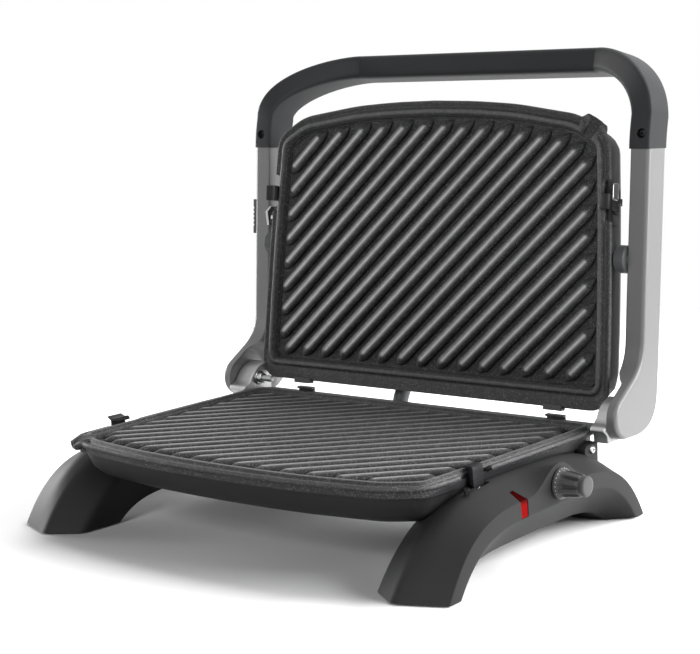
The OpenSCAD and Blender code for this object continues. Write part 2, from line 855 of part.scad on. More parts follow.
module arm_right() {
    color(satin_silver)
    difference() {
        translate([arm_in, 0, 0]) rotate([90, 0, 90]) linear_extrude(arm_t) arm_profile();
        hinge_bore();
        arm_pin_bore();
    }
}
module arm_left() {
    color(satin_silver)
    difference() {
        mirror([1, 0, 0])
            difference() {
                translate([arm_in, 0, 0]) rotate([90, 0, 90]) linear_extrude(arm_t) arm_profile();
                hinge_bore();
                arm_pin_bore();
            }
        lock_slot();
    }
}

// Centre line of the handle's right half: leg, corner, grip
leg_w = arm_t + 1.3;
leg_d = arm_depth + 1.5;
leg_x = arm_out - leg_w / 2;
grip_half = leg_x - corner_run;
corner_z = arm_top + 22.9;
corner_steps = 10;
leg_kick = 2;
handle_screw_z = arm_top + 10.7;
function leg_point(z) = [leg_x, arm_mid_y(z) + leg_kick * pow((z - arm_top) / (corner_z - arm_top), 2), z];
leg_stations = [for (z = [arm_top, (arm_top + corner_z) / 2]) leg_point(z)];
corner_start = leg_point(corner_z);
function corner_point(a) =
    [grip_half + corner_run * pow(cos(a), 1.18),
        corner_start.y + (grip_y - corner_start.y) * (1 - pow(cos(a), 1.57)),
        corner_start.z + (grip_z - corner_start.z) * sin(a)];
corner_stations = [for (k = [0:corner_steps]) corner_point(min(89.9, 90 * k / corner_steps))];
half_path = concat(leg_stations, corner_stations, [[grip_half / 2, grip_y, grip_z]]);
leg_count = len(leg_stations);

// Section of the handle: half sizes across and in depth, with cut corners
function handle_section(u) =
    let (a = (leg_w + (grip_h - leg_w) * u) / 2, b = (leg_d + (grip_d - leg_d) * u) / 2,
        c = 1.5 + 1.8 * u)
    [[a - c, -b], [a, -b + c], [a, b - c], [a - c, b], [-a + c, b], [-a, b - c], [-a, -b + c], [-a + c, -b]];

function handle_ring(i) =
    let (n = len(half_path),
        u = pow(max(0, min(1, (i - leg_count) / corner_steps)), 0.73),
        p = half_path[i],
        ahead = i == 0 ? half_path[1] - p : i == n - 1 ? [-1, 0, 0]
            : unit(half_path[i + 1] - p) + unit(p - half_path[i - 1]),
        back0 = [0, cos(arm_lean), -sin(arm_lean)],
        back1 = [0, cos(grip_lean), -sin(grip_lean)],
        travel = i == 0 ? [0, 0, 1] : i < leg_count ? [0, sin(arm_lean), cos(arm_lean)] : unit(ahead),
        raw = unit((1 - u) * back0 + u * back1),
        back = unit(raw - (raw * travel) * travel),
        out = cross(back, travel))
    [for (q = handle_section(u)) p + q[0] * out + q[1] * back];

function handle_rings() =
    let (n = len(half_path), right = [for (i = [0:n - 1]) handle_ring(i)])
    concat(right, [for (i = [n - 1:-1:0]) let (r = right[i])
        [for (k = [0:len(r) - 1]) [-r[k].x, r[k].y, r[k].z]]]);

module handle() {
    color(soft_black)
    difference() {
        loft(handle_rings());
        both_sides() handle_screw_bore();
    }
}

module handle_screw_bore()
    translate([leg_x + 1.6, arm_mid_y(handle_screw_z), handle_screw_z]) rotate([90, 0, 0]) {
        cylinder(r = 1.6, h = 30);
        translate([0, 0, arm_half_d - 2.4]) cylinder(r = 3.4, h = 10);
    }
module handle_screws() {
    color(bright_steel)
    both_sides()
        translate([leg_x + 1.6, arm_mid_y(handle_screw_z), handle_screw_z]) rotate([90, 0, 0]) {
            cylinder(r = 1.5, h = arm_half_d - 3);
            translate([0, 0, arm_half_d - 2.4]) cylinder(r = 3.1, h = 1.6);
            translate([0, 0, arm_half_d - 3.1]) cylinder(r = 1.5, h = 1);
        }
}

// Pivots of the lid in the arms

pivot_y = upper_y + pivot_s * sin(lid_lean) + pivot_d * cos(lid_lean);
pivot_z = upper_z + pivot_s * cos(lid_lean) - pivot_d * sin(lid_lean);
boss_in = half_w(pivot_s) + flange_w + slide_gap;
pin_in = half_w(pivot_s) - 3.5;
pin_boss_r = pivot_r + 3;
module pivot_bosses() {
    color(satin_silver)
    both_sides()
        translate([0, pivot_y, pivot_z]) rotate([0, 90, 0]) {
            translate([0, 0, boss_in]) cylinder(r = boss_r, h = arm_in - boss_in);
            translate([0, 0, pin_in]) cylinder(r = pivot_r, h = arm_in + 8 - pin_in);
        }
}
module arm_pin_bore()
    translate([arm_in - 1, pivot_y, pivot_z]) rotate([0, 90, 0]) cylinder(r = pivot_r, h = 9);
module pivot_clearance()
    translate([pin_in - 3, -pivot_s, -pivot_d]) rotate([0, 90, 0])
        cylinder(r = pin_boss_r + slide_gap, h = 20);
module pivot_bore()
    translate([pin_in - 2, -pivot_s, -pivot_d]) rotate([0, 90, 0])
        cylinder(r = pivot_r + run_gap, h = 30);

// Lid lock on the left arm: slider outside, hook inside, joined through a slot
stem_r = 3;
slider_out = 6;
lock_y = arm_mid_y(lock_z);
lock_axis = [0, sin(arm_lean), cos(arm_lean)];
hook_x = [arm_in - 5.5, arm_in - 3.2];
lock_pin_s = 117;
lock_pin_d = 9.6;
lock_pin_r = 2;
lock_pin_y = upper_y + lock_pin_s * sin(lid_lean) + lock_pin_d * cos(lid_lean);
lock_pin_z = upper_z + lock_pin_s * cos(lid_lean) - lock_pin_d * sin(lid_lean);
hook_play = 2.4;

module lock_slot()
    hull()
        for (move = [-0.4, lock_travel + 0.4])
            translate([-arm_in - arm_t - 1, lock_y, lock_z] + move * lock_axis)
                rotate([0, 90, 0]) cylinder(r = stem_r + 0.3, h = arm_t + 2, $fn = 32);

module lock_slider() {
    color(grey_sheath)
    translate([-arm_out, lock_y, lock_z]) {
        rotate([-arm_lean, 0, 0])
            difference() {
                translate([-slider_out, -8, -lock_h / 2]) cube([slider_out - slide_gap, 16, lock_h]);
                for (k = [-2:2])
                    translate([-slider_out - 0.4, -9, 3.5 * k - 0.6]) cube([1.2, 18, 1.2]);
            }
        rotate([0, 90, 0]) translate([0, 0, -slide_gap - eps])
            cylinder(r = stem_r, h = arm_t + slide_gap + 1);
    }
}

module lock_hook() {
    color(bright_steel)
    translate([-hook_x[1], 0, 0]) rotate([90, 0, 90])
        linear_extrude(hook_x[1] - hook_x[0])
            difference() {
                polygon([[lock_pin_y - 7, lock_pin_z - 6], [lock_pin_y - 4.2, lock_pin_z - 6],
                    [lock_y + 5, lock_z - 9], [lock_y + 5, lock_z + 5], [lock_y - 6, lock_z + 9],
                    [lock_pin_y - 3, lock_pin_z + 9], [lock_pin_y - 8, lock_pin_z + 5]]);
                translate([lock_pin_y, lock_pin_z]) circle(r = lock_pin_r + hook_play);
                translate([lock_pin_y - lock_pin_r - hook_play, lock_pin_z - 12])
                    square([2 * (lock_pin_r + hook_play), 12]);
            }
    translate([-hook_x[0] - eps, lock_y, lock_z]) rotate([0, -90, 0])
        cylinder(r = stem_r, h = arm_in - hook_x[0] - 1);
}

// Lid

lid_deck_t = 2.4;
lid_seam = -flange_under - lid_deck_t;
lid_under = lid_seam - 2.2;
housing_profile = [[deck_d, lid_seam], [deck_d, -20], [1.5, -housing_d + 6],
    [-6, -housing_d + 1.5], [-16, -housing_d]];
function lid_ring(d, h) = at_height(rim(d), h);

module lid_deck() {
    color(soft_black)
    at_upper()
        difference() {
            union() {
                translate([0, 0, lid_seam]) linear_extrude(lid_deck_t) polygon(rim(deck_d));
                translate([0, 0, lid_under]) linear_extrude(lid_seam - lid_under + eps)
                    polygon(rim(deck_d - wall - slide_gap));
            }
            translate([0, 0, lid_under - 1])
                linear_extrude(3 * lid_deck_t + 1) polygon(rim(opening_d));
            both_sides() pivot_clearance();
        }
}

module housing_outer()
    loft([for (i = [len(housing_profile) - 1:-1:0])
        lid_ring(housing_profile[i][0], housing_profile[i][1])]);
module housing_inner()
    loft([for (i = [len(housing_profile) - 1:-1:0])
        let (q = housing_profile[i])
        lid_ring(q[0] - wall, i == 0 ? q[1] + 1 : q[1] + wall)]);

module latch_boss(room)
    translate([latch_x0 - 3, -latch_s - latch_w / 2 - 3, latch_foot_h - 2.4])
        cube([latch_t + 3 + room, latch_w + 6, 8]);

module upper_housing() {
    color(graphite)
    at_upper()
        difference() {
            union() {
                housing_outer();
                latch_boss(2);
                mirror([1, 0, 0]) latch_boss(latch_travel + 2.6);
            }
            difference() {
                housing_inner();
                both_sides()
                    translate([pin_in - 1, -pivot_s, -pivot_d]) rotate([0, 90, 0])
                        cylinder(r = pin_boss_r, h = 20);
            }
            both_sides() pivot_bore();
            latch_pocket(0);
            mirror([1, 0, 0]) {
                latch_pocket(latch_travel);
                spring_bore();
            }
            lead_hole();
        }
}

module lead_hole()
    translate([-lead_x, 20, -lead_in_d]) rotate([90, 0, 0]) cylinder(r = lead_r + 1.5, h = 30);
lead_in_d = 20;

module upper_reflector() {
    color(bright_steel)
    at_upper()
        difference() {
            union() {
                reflector_tray(lid_under);
                heater_posts();
            }
            both_sides() pivot_clearance();
        }
}
module upper_heater() color(grey_sheath) at_upper() heater_tube();

module thermal_cutout() {
    color(ceramic_white)
    at_upper()
        translate([60, heater_y, tray_h - 5]) {
            cylinder(r = 9, h = 5);
            translate([0, 0, -3]) cylinder(r = 6, h = 3 + eps);
        }
}

module latch_upper() color(bright_steel) at_upper() mirror([1, 0, 0]) catch_shape();
module latch_spring_upper() color(bright_steel) at_upper() mirror([1, 0, 0]) spring_wire_shape();
module clip_upper() color(soft_black) at_upper() catch_shape();

module lock_pin() {
    color(bright_steel)
    at_upper()
        translate([half_w(lock_pin_s) + deck_d + 0.1, -lock_pin_s, -lock_pin_d])
            rotate([0, 90, 0])
                cylinder(r = lock_pin_r, h = arm_in - 2.7 - half_w(lock_pin_s) - deck_d);
}

// Lead between base and lid

lead_points = [[lead_x, 74, 49], [lead_x, 74, 58], [lead_x, 74.5, 65], [lead_x, 78, 71.5],
    [lead_x, 82, 77.5], [lead_x, 84, 86], [lead_x, 85, 95]];
lead_sides = 10;

module lid_lead() {
    color(grey_sheath)
    loft([for (i = [0:len(lead_points) - 1])
        let (n = len(lead_points),
            p = lead_points[i],
            v = unit(lead_points[min(i + 1, n - 1)] - lead_points[max(i - 1, 0)]),
            right = [1, 0, 0],
            back = cross(v, right))
        [for (k = [0:lead_sides - 1])
            let (a = 360 * k / lead_sides)
            p + lead_r * (cos(a) * right + sin(a) * back)]]);
}

module lead_bushings() {
    color(soft_black)
    translate([lead_x, lead_hole_y, box_top])
        difference() {
            cylinder(r = lead_r + 3, h = 1.6);
            translate([0, 0, -1]) cylinder(r = lead_r + 1, h = 4);
        }
}

// The frame's origin lies on the table under the middle of the whole object
knob_tip = arch_out + knob_gap + knob_l;
frame_x = (knob_tip - arm_out - slider_out) / 2;
foot_front = arch_mid - foot_spans[2];
grip_back = max([for (ring = handle_rings()) max([for (q = ring) q.y])]);
frame_y = (grip_back + foot_front) / 2;
module in_frame() translate([-frame_x, -frame_y, 0]) children();

in_frame() base_pan();
in_frame() base_deck();
in_frame() arch_right();
in_frame() arch_left();
in_frame() foot_pads();
in_frame() lower_plate();
in_frame() lower_reflector();
in_frame() lower_heater();
in_frame() thermostat();
in_frame() thermostat_shaft();
in_frame() control_knob();
in_frame() pilot_window();
in_frame() pilot_lamp();
in_frame() terminal_block();
in_frame() cord_gland();
in_frame() base_screws();
in_frame() latch_lower();
in_frame() latch_spring_lower();
in_frame() clip_lower();
in_frame() latch_screw();
in_frame() hinge_bracket_right();
in_frame() hinge_bracket_left();
in_frame() bracket_screws();
in_frame() hinge_bolts();
in_frame() stop_sleeves();
in_frame() arm_right();
in_frame() arm_left();
in_frame() handle();
in_frame() handle_screws();
in_frame() pivot_bosses();
in_frame() lock_slider();
in_frame() lock_hook();
in_frame() lid_deck();
in_frame() upper_housing();
in_frame() upper_plate();
in_frame() upper_reflector();
in_frame() upper_heater();
in_frame() thermal_cutout();
in_frame() latch_upper();
in_frame() latch_spring_upper();
in_frame() clip_upper();
in_frame() lock_pin();
in_frame() lead_bushings();
in_frame() lid_lead();
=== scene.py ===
import json
import math

import bmesh
import bpy
from bpy.props import FloatProperty, FloatVectorProperty, IntProperty, PointerProperty
from mathutils import Matrix, Vector

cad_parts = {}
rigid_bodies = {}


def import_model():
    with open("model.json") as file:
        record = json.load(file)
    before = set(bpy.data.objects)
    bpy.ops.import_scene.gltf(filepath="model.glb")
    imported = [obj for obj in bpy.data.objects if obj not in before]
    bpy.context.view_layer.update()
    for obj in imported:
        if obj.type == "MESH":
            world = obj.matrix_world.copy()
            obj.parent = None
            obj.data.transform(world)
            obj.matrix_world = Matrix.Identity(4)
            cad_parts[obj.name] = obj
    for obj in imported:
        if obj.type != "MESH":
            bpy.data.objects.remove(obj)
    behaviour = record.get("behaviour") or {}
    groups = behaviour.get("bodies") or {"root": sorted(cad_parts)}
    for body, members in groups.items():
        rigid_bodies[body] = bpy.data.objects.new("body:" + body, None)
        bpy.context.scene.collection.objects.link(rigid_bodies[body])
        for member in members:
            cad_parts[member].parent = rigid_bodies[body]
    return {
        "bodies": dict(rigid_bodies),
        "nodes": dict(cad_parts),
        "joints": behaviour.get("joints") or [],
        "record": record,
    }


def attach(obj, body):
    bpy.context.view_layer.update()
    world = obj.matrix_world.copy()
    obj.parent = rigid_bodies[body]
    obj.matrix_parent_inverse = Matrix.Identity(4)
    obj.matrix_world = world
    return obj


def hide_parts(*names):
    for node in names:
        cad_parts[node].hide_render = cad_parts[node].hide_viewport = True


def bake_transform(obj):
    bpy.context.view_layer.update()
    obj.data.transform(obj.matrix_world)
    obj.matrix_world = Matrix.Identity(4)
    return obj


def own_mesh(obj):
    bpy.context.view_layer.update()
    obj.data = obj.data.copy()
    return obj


bl_info = {
    "name": "Contact Grill",
    "version": (1, 0, 0),
    "blender": (4, 5, 0),
    "location": "View3D > Sidebar > Grill",
    "description": "Builds the finished surfaces of a contact grill round its packed frame",
    "category": "Add Mesh",
}

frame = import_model()
NODES = frame["nodes"]
JOINT = {j["name"]: j for j in frame["joints"]}
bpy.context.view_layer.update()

MM = 0.001
# The hinge line in the grill's own millimetres, from the middle plane and the table
HINGE_Y, HINGE_Z = 56.5, 74.5
HOME = Vector(JOINT["lid_hinge"]["pos_m"]) - Vector((0.0, HINGE_Y, HINGE_Z)) * MM


def placed(point):
    """A point of the grill's own millimetres in the row frame, in metres."""
    return HOME + Vector(point) * MM


# ---------------------------------------------------------------- sizes and colours


class GrillSizes(bpy.types.PropertyGroup):
    """Sizes of the finished surfaces, in millimetres"""

    floor_depth: FloatProperty(
        name="Floor depth", description="Cooking floor below the crest, in mm",
        default=6.0, min=3.0, max=7.0)
    rib_height: FloatProperty(
        name="Rib height", description="Height of a rib over the floor, in mm",
        default=5.0, min=2.0, max=6.0)
    rib_half_width: FloatProperty(
        name="Rib half width", description="Half width of a rib at its foot, in mm",
        default=4.1, min=1.5, max=5.0)
    rib_taper: FloatProperty(
        name="Rib taper", description="Length of a rib's pointed end, in mm",
        default=9.0, min=4.0, max=20.0)
    arm_edge: FloatProperty(
        name="Arm edge", description="Rounding of the arms' edges, in mm",
        default=3.2, min=0.2, max=4.0)
    dial_dots: IntProperty(
        name="Dial dots", description="Number of dots on the dial's skirt",
        default=22, min=6, max=60)
    flutes: IntProperty(
        name="Flutes", description="Number of finger flutes round the knob",
        default=8, min=4, max=20)


class GrillColours(bpy.types.PropertyGroup):
    """Colours of the finished surfaces"""

    coating: FloatVectorProperty(
        name="Coating", description="Non-stick coating of the plates", subtype="COLOR",
        default=(0.028, 0.028, 0.0288), min=0.0, max=1.0)
    graphite: FloatVectorProperty(
        name="Graphite", description="Moulded base, arches and lid housing", subtype="COLOR",
        default=(0.022, 0.022, 0.0223), min=0.0, max=1.0)
    charcoal: FloatVectorProperty(
        name="Charcoal", description="Handle", subtype="COLOR",
        default=(0.028, 0.0287, 0.0305), min=0.0, max=1.0)
    silver: FloatVectorProperty(
        name="Silver", description="Satin arms", subtype="COLOR",
        default=(0.155, 0.155, 0.156), min=0.0, max=1.0)
    steel: FloatVectorProperty(
        name="Steel", description="Bright castings, bolts and latches", subtype="COLOR",
        default=(0.46, 0.46, 0.465), min=0.0, max=1.0)
    red: FloatVectorProperty(
        name="Red", description="Pilot window", subtype="COLOR",
        default=(0.21, 0.0004, 0.0008), min=0.0, max=1.0)
    backdrop: FloatVectorProperty(
        name="Backdrop", description="Floor and background", subtype="COLOR",
        default=(0.92, 0.92, 0.92), min=0.0, max=1.0)


def sizes():
    return bpy.context.scene.grill_sizes


def colours():
    return bpy.context.scene.grill_colours


# ---------------------------------------------------------------- finishes


class Value:
    """A number in a material's node tree. Sums and products of it add Math nodes."""

    def __init__(self, tree, socket):
        self.tree = tree
        self.socket = socket

    def math(self, operation, *others, clamp=False):
        node = self.tree.nodes.new("ShaderNodeMath")
        node.operation = operation
        node.use_clamp = clamp
        for slot, value in zip(node.inputs, (self, *others)):
            if isinstance(value, Value):
                self.tree.links.new(value.socket, slot)
            else:
                slot.default_value = value
        return Value(self.tree, node.outputs[0])

    def _after(self, operation, first):
        node = self.tree.nodes.new("ShaderNodeMath")
        node.operation = operation
        node.inputs[0].default_value = first
        self.tree.links.new(self.socket, node.inputs[1])
        return Value(self.tree, node.outputs[0])

    def __add__(self, other):
        return self.math("ADD", other)

    __radd__ = __add__

    def __mul__(self, other):
        return self.math("MULTIPLY", other)

    __rmul__ = __mul__

    def __sub__(self, other):
        return self.math("SUBTRACT", other)

    def __rsub__(self, other):
        return self._after("SUBTRACT", other)

    def __truediv__(self, other):
        return self.math("DIVIDE", other)

    def __rtruediv__(self, other):
        return self._after("DIVIDE", other)

    def __pow__(self, other):
        return self.math("POWER", other)

    def clamped(self):
        return self.math("ADD", 0.0, clamp=True)

    def above(self, edge, soft):
        """0 below the edge, 1 above it, over a soft step."""
        return ((self - edge) / soft + 0.5).clamped()


class Finish:
    """One material and the few kinds of node that this object's finishes need."""

    def __init__(self, name):
        self.material = bpy.data.materials.new(name)
        self.material.use_nodes = True
        self.tree = self.material.node_tree
        self.shader = self.tree.nodes["Principled BSDF"]
        self.place = self.node("ShaderNodeTexCoord").outputs["Object"]

    def node(self, kind, settings=(), ramp=None, **inputs):
        node = self.tree.nodes.new(kind)
        for key, value in dict(settings).items():
            setattr(node, key, value)
        if ramp:
            stops = node.color_ramp.elements
            while len(stops) < len(ramp):
                stops.new(0.5)
            for stop, (at, colour) in zip(stops, ramp):
                stop.position = at
                stop.color = (*colour, 1.0)
        for key, value in inputs.items():
            self.feed(node.inputs[key.replace("_", " ")], value)
        return node

    def feed(self, socket, value):
        if isinstance(value, Value):
            self.tree.links.new(value.socket, socket)
        elif isinstance(value, bpy.types.NodeSocket):
            self.tree.links.new(value, socket)
        elif hasattr(value, "__len__") and len(value) == 3 and socket.type == "RGBA":
            socket.default_value = (*value, 1.0)
        else:
            socket.default_value = value

    def noise(self, scale, detail=2.0, roughness=0.5, stretch=None, distortion=0.0):
        """Cloudy variation from 0 to 1; scale counts its cells per metre."""
        place = self.place
        if stretch:
            place = self.node("ShaderNodeMapping", Vector=place, Scale=stretch).outputs[0]
        made = self.node("ShaderNodeTexNoise", Vector=place, Scale=scale, Detail=detail,
                         Roughness=roughness, Distortion=distortion)
        return Value(self.tree, made.outputs[0])

    def grains(self, scale, randomness=1.0):
        """Distance to the nearest of many scattered grains."""
        made = self.node("ShaderNodeTexVoronoi", Vector=self.place, Scale=scale,
                         Randomness=randomness)
        return Value(self.tree, made.outputs["Distance"])

    def mix(self, share, first, second):
        """A colour between two colours."""
        made = self.node("ShaderNodeMix", {"data_type": "RGBA"})
        self.feed(made.inputs["Factor"], share)
        self.feed(made.inputs[6], first)
        self.feed(made.inputs[7], second)
        return made.outputs[2]

    def height(self):
        """How high a point lies in the row frame, in metres."""
        return Value(self.tree, self.node("ShaderNodeSeparateXYZ", Vector=self.place).outputs[2])

    def surface(self, colour=None, roughness=None, relief=None, depth=0.1, reach=0.0002, **fixed):
        """Links what varies and sets what doesn't on the shader."""
        if colour is not None:
            self.feed(self.shader.inputs["Base Color"], colour)
        if roughness is not None:
            self.feed(self.shader.inputs["Roughness"], roughness)
        if relief is not None:
            bump = self.node("ShaderNodeBump", Strength=depth, Distance=reach, Height=relief)
            self.feed(self.shader.inputs["Normal"], bump.outputs[0])
        for key, value in fixed.items():
            self.feed(self.shader.inputs[key.replace("_", " ")], value)
        return self.material


def mixed(colour, gain):
    return tuple(min(1.0, c * gain) for c in colour)


def coated_casting(name):
    """Non-stick coating with fine pale specks; the crests and the flange bead get a painted
    highlight, lighter and partly metallic, with some rubbed wear.
    """
    f = Finish(name)
    base = colours().coating
    crest = Value(f.tree, f.node("ShaderNodeAttribute", {"attribute_name": "crest"}).outputs["Fac"])
    speck = 1 - f.grains(1100).above(0.26, 0.14)
    cloud = f.noise(260, 3.0)
    peel = f.noise(1000, 2.0, 0.6)
    wear_and_highlight = f.noise(45, 3.0)
    dark = f.mix(wear_and_highlight, mixed(base, 0.8), mixed(base, 1.2))
    # Painted highlight: the crest attribute (crests and flange bead) lightens the coating towards
    # pale grey and raises its Metallic, with some rubbed wear.
    ridge = crest ** 1.6
    highlit_crests = f.mix(ridge * (0.5 + 0.5 * cloud), dark, (0.62, 0.62, 0.625))
    colour = f.mix(speck * 0.9 * cloud.above(0.42, 0.3), highlit_crests, (0.26, 0.26, 0.265))
    return f.surface(colour, 0.50 + 0.12 * peel - 0.20 * crest, peel + 0.6 * speck, 0.25, 0.0002,
                     Specular_IOR_Level=0.22, Metallic=ridge * 0.5)


def moulded(name, colour, rough=0.5, grain=1400, depth=0.12, level=0.5):
    """Moulded plastic with a fine spark-eroded grain and a faint uneven sheen."""
    f = Finish(name)
    fine = f.noise(grain, 2.0, 0.6)
    wide = f.noise(22, 3.0)
    tint = f.mix(wide, mixed(colour, 0.9), mixed(colour, 1.12))
    return f.surface(tint, rough - 0.05 + 0.08 * fine + 0.05 * wide, fine, depth, 0.0001,
                     Specular_IOR_Level=level)


def satin_metal(name, colour, rough=0.40, along=(1.0, 1.0, 0.03), metal=0.12):
    """Satin metal with short brush lines and a soft cloudy variation."""
    f = Finish(name)
    lines = f.noise(2600, 2.0, 0.6, along)
    wide = f.noise(14, 2.0)
    tint = f.mix(lines * 0.6 + wide * 0.4, mixed(colour, 0.9), mixed(colour, 1.08))
    return f.surface(tint, rough - 0.05 + 0.09 * lines + 0.03 * wide, lines, 0.05, 0.00005,
                     Metallic=metal)


def bright_metal(name, colour, rough=0.2, cast=0.0):
    """Bright steel or a polished casting, with fine scratches and dull patches."""
    f = Finish(name)
    fine = f.noise(3200, 2.0, 0.6, (1.0, 0.2, 1.0))
    skin = f.noise(420, 3.0)
    tint = f.mix(skin, mixed(colour, 0.88), mixed(colour, 1.06))
    return f.surface(tint, rough - 0.03 + 0.08 * fine + 0.08 * skin, skin * cast + fine * 0.3,
                     0.15, 0.0001, Metallic=1.0)


def oxidised_tube(name):
    """Heater sheath, darkened in patches."""
    f = Finish(name)
    patch = f.noise(90, 4.0)
    tint = f.mix(patch.above(0.5, 0.3), (0.10, 0.085, 0.075), (0.26, 0.25, 0.25))
    return f.surface(tint, 0.4 + 0.2 * patch, patch, 0.1, 0.0001, Metallic=1.0)


def fired_ceramic(name):
    """Unglazed ceramic with open pores."""
    f = Finish(name)
    pores = f.grains(900)
    wide = f.noise(60, 3.0)
    return f.surface(f.mix(wide, (0.62, 0.59, 0.52), (0.74, 0.71, 0.64)), 0.6 + 0.1 * wide, pores,
                     0.15, 0.0001)


def pad_rubber(name):
    """Black rubber with a little dust."""
    f = Finish(name)
    fine = f.noise(700, 3.0)
    dust = f.noise(70, 4.0).above(0.6, 0.2)
    return f.surface(f.mix(dust * 0.5, (0.018, 0.018, 0.018), (0.05, 0.05, 0.048)),
                     0.75 + 0.1 * fine, fine, 0.25, 0.0002)


def window_red(name):
    """Clear red plastic with a painted glow where the lamp stands behind it; above that, at its
    upper end, it stays dark.
    """
    f = Finish(name)
    # Painted glow: full red below the lamp's top, a tenth of it above.
    lit = 1 - f.height().above(placed((0, 0, 44.5)).z, 0.0035)
    streak = f.noise(900, 2.0, 0.5, (1.0, 1.0, 0.15))
    bright = colours().red
    tint = f.mix(lit * (0.75 + 0.25 * streak), mixed(bright, 0.10), bright)
    return f.surface(tint, 0.3 + 0.06 * streak, streak, 0.04, 0.0001, Specular_IOR_Level=0.02)


def finish_of(name, make, *rest, **more):
    """The named finish, made the first time that it is asked for."""
    found = bpy.data.materials.get(name)
    return found or make(name, *rest, **more)


def coating():
    return finish_of("coated casting", coated_casting)


def graphite():
    return finish_of("graphite moulding", moulded, colours().graphite, 0.50, level=0.15)


def charcoal():
    return finish_of("charcoal handle", moulded, colours().charcoal, 0.46, 1800, 0.08, 0.15)


def soft_black():
    return finish_of("black moulding", moulded, (0.012, 0.012, 0.013), 0.42, 1600, 0.08, 0.2)


def knob_black():
    return finish_of("knob satin", moulded, (0.062, 0.062, 0.063), 0.34, 2200, 0.05, 0.2)


def silver():
    return finish_of("satin silver", satin_metal, colours().silver)


def steel():
    return finish_of("bright steel", bright_metal, colours().steel)


def casting():
    return finish_of("polished casting", bright_metal, mixed(colours().steel, 0.8), 0.42, 1.0)


def grey_plastic():
    return finish_of("grey moulding", moulded, (0.085, 0.09, 0.092), 0.42, level=0.2)


def dark_steel():
    return finish_of("blackened screw", bright_metal, (0.02, 0.02, 0.021), 0.36)


# ---------------------------------------------------------------- meshes


def smoothed(mesh, angle=35.0):
    """Smooth shading, with the edges that turn more than the angle kept sharp."""
    mesh.polygons.foreach_set("use_smooth", [True] * len(mesh.polygons))
    mesh.set_sharp_from_angle(angle=math.radians(angle))
    mesh.update()


def linked(name, data):
    """A new object of the scene."""
    made = bpy.data.objects.new(name, data)
    bpy.context.scene.collection.objects.link(made)
    return made


def cleaned(mesh):
    """Joins the points that meet and turns the faces outward."""
    work = bmesh.new()
    work.from_mesh(mesh)
    bmesh.ops.remove_doubles(work, verts=work.verts, dist=1e-7)
    bmesh.ops.recalc_face_normals(work, faces=work.faces)
    work.to_mesh(mesh)
    work.free()


def new_piece(name, points, faces, material, body, slot, replaces=(), angle=35.0, local=None,
              even=False):
    """A mesh piece from points in the grill's millimetres, riding on a body."""
    mesh = bpy.data.meshes.new(name)
    if local is not None:
        points = [local @ Vector(p) for p in points]
    mesh.from_pydata([placed(p) for p in points], [], faces)
    mesh.validate()
    cleaned(mesh)
    smoothed(mesh, angle)
    mesh.materials.append(material)
    piece = linked(name, mesh)
    if even:
        even_normals(piece)
    if body:
        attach(piece, body)
    if replaces:
        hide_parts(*replaces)
    return piece


def baked(piece):
    """The piece with its modifiers worked into its mesh."""
    made = bpy.data.meshes.new_from_object(piece.evaluated_get(
        bpy.context.evaluated_depsgraph_get()))
    piece.modifiers.clear()
    piece.data = made
    return piece


def even_normals(piece):
    """Lets large flat faces set the shading of the rounded edges beside them."""
    change = piece.modifiers.new("normals", "WEIGHTED_NORMAL")
    change.keep_sharp = True
    change.weight = 80
    bpy.context.view_layer.update()
    return baked(piece)


def bevelled(piece, width, segments=3, angle=30.0):
    """Rounds the sharp edges of a piece."""
    edge = piece.modifiers.new("edges", "BEVEL")
    edge.width = width * MM
    edge.segments = segments
    edge.limit_method = "ANGLE"
    edge.angle_limit = math.radians(angle)
    edge.harden_normals = False
    edge.miter_outer = "MITER_ARC"
    bpy.context.view_layer.update()
    baked(piece)
    smoothed(piece.data, 30.0)
    return piece


def softened_node(node, body, material, width, segments=3, angle=30.0, shade=32.0):
    """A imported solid's shape again, with rounded edges, in the solid's place."""
    mesh = NODES[node].data.copy()
    work = bmesh.new()
    work.from_mesh(mesh)
    bmesh.ops.remove_doubles(work, verts=work.verts, dist=2e-6)
    bmesh.ops.dissolve_limit(work, angle_limit=math.radians(0.6), verts=work.verts,
                             edges=work.edges)
    work.to_mesh(mesh)
    work.free()
    mesh.materials.clear()
    mesh.materials.append(material)
    piece = linked(node + "_finished", mesh)
    bevelled(piece, width, segments, angle)
    smoothed(piece.data, shade)
    even_normals(piece)
    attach(piece, body)
    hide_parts(node)
    return piece


def scratch_object(points, faces):
    """A closed shape in the row frame that is only used to cut with."""
    mesh = bpy.data.meshes.new("cutter")
    mesh.from_pydata([placed(p) for p in points], [], faces)
    cleaned(mesh)
    return linked("cutter", mesh)


def carve(piece, shape, operation="DIFFERENCE", angle=35.0):
    """Takes a closed shape out of a piece, adds it, or keeps what lies inside it."""
    tool = scratch_object(*shape)
    change = piece.modifiers.new("carve", "BOOLEAN")
    change.operation = operation
    change.solver = "EXACT"
    change.object = tool
    bpy.context.view_layer.update()
    baked(piece)
    bpy.data.objects.remove(tool)
    smoothed(piece.data, angle)
    return piece


def block(low, high, place=None):
    """Points and faces of a box, turned by a placing."""
    points = [Vector((x, y, z)) for z in (low[2], high[2]) for y in (low[1], high[1])
              for x in (low[0], high[0])]
    if place:
        points = [place @ p for p in points]
    return points, [(0, 2, 3, 1), (4, 5, 7, 6), (0, 1, 5, 4), (2, 6, 7, 3), (0, 4, 6, 2),
                    (1, 3, 7, 5)]


def turns(count):
    """Equal angles once round a circle."""
    return [2 * math.pi * k / count for k in range(count)]


def rod(centre, axis, radius, length, sides=32):
    """Points and faces of a plain cylinder from a centre along an axis."""
    turn = Vector(axis).to_track_quat("Z", "Y")
    rings = [[Vector(centre) + turn @ Vector((radius * math.cos(a), radius * math.sin(a), z))
              for a in turns(sides)] for z in (0, length)]
    return loft(rings)


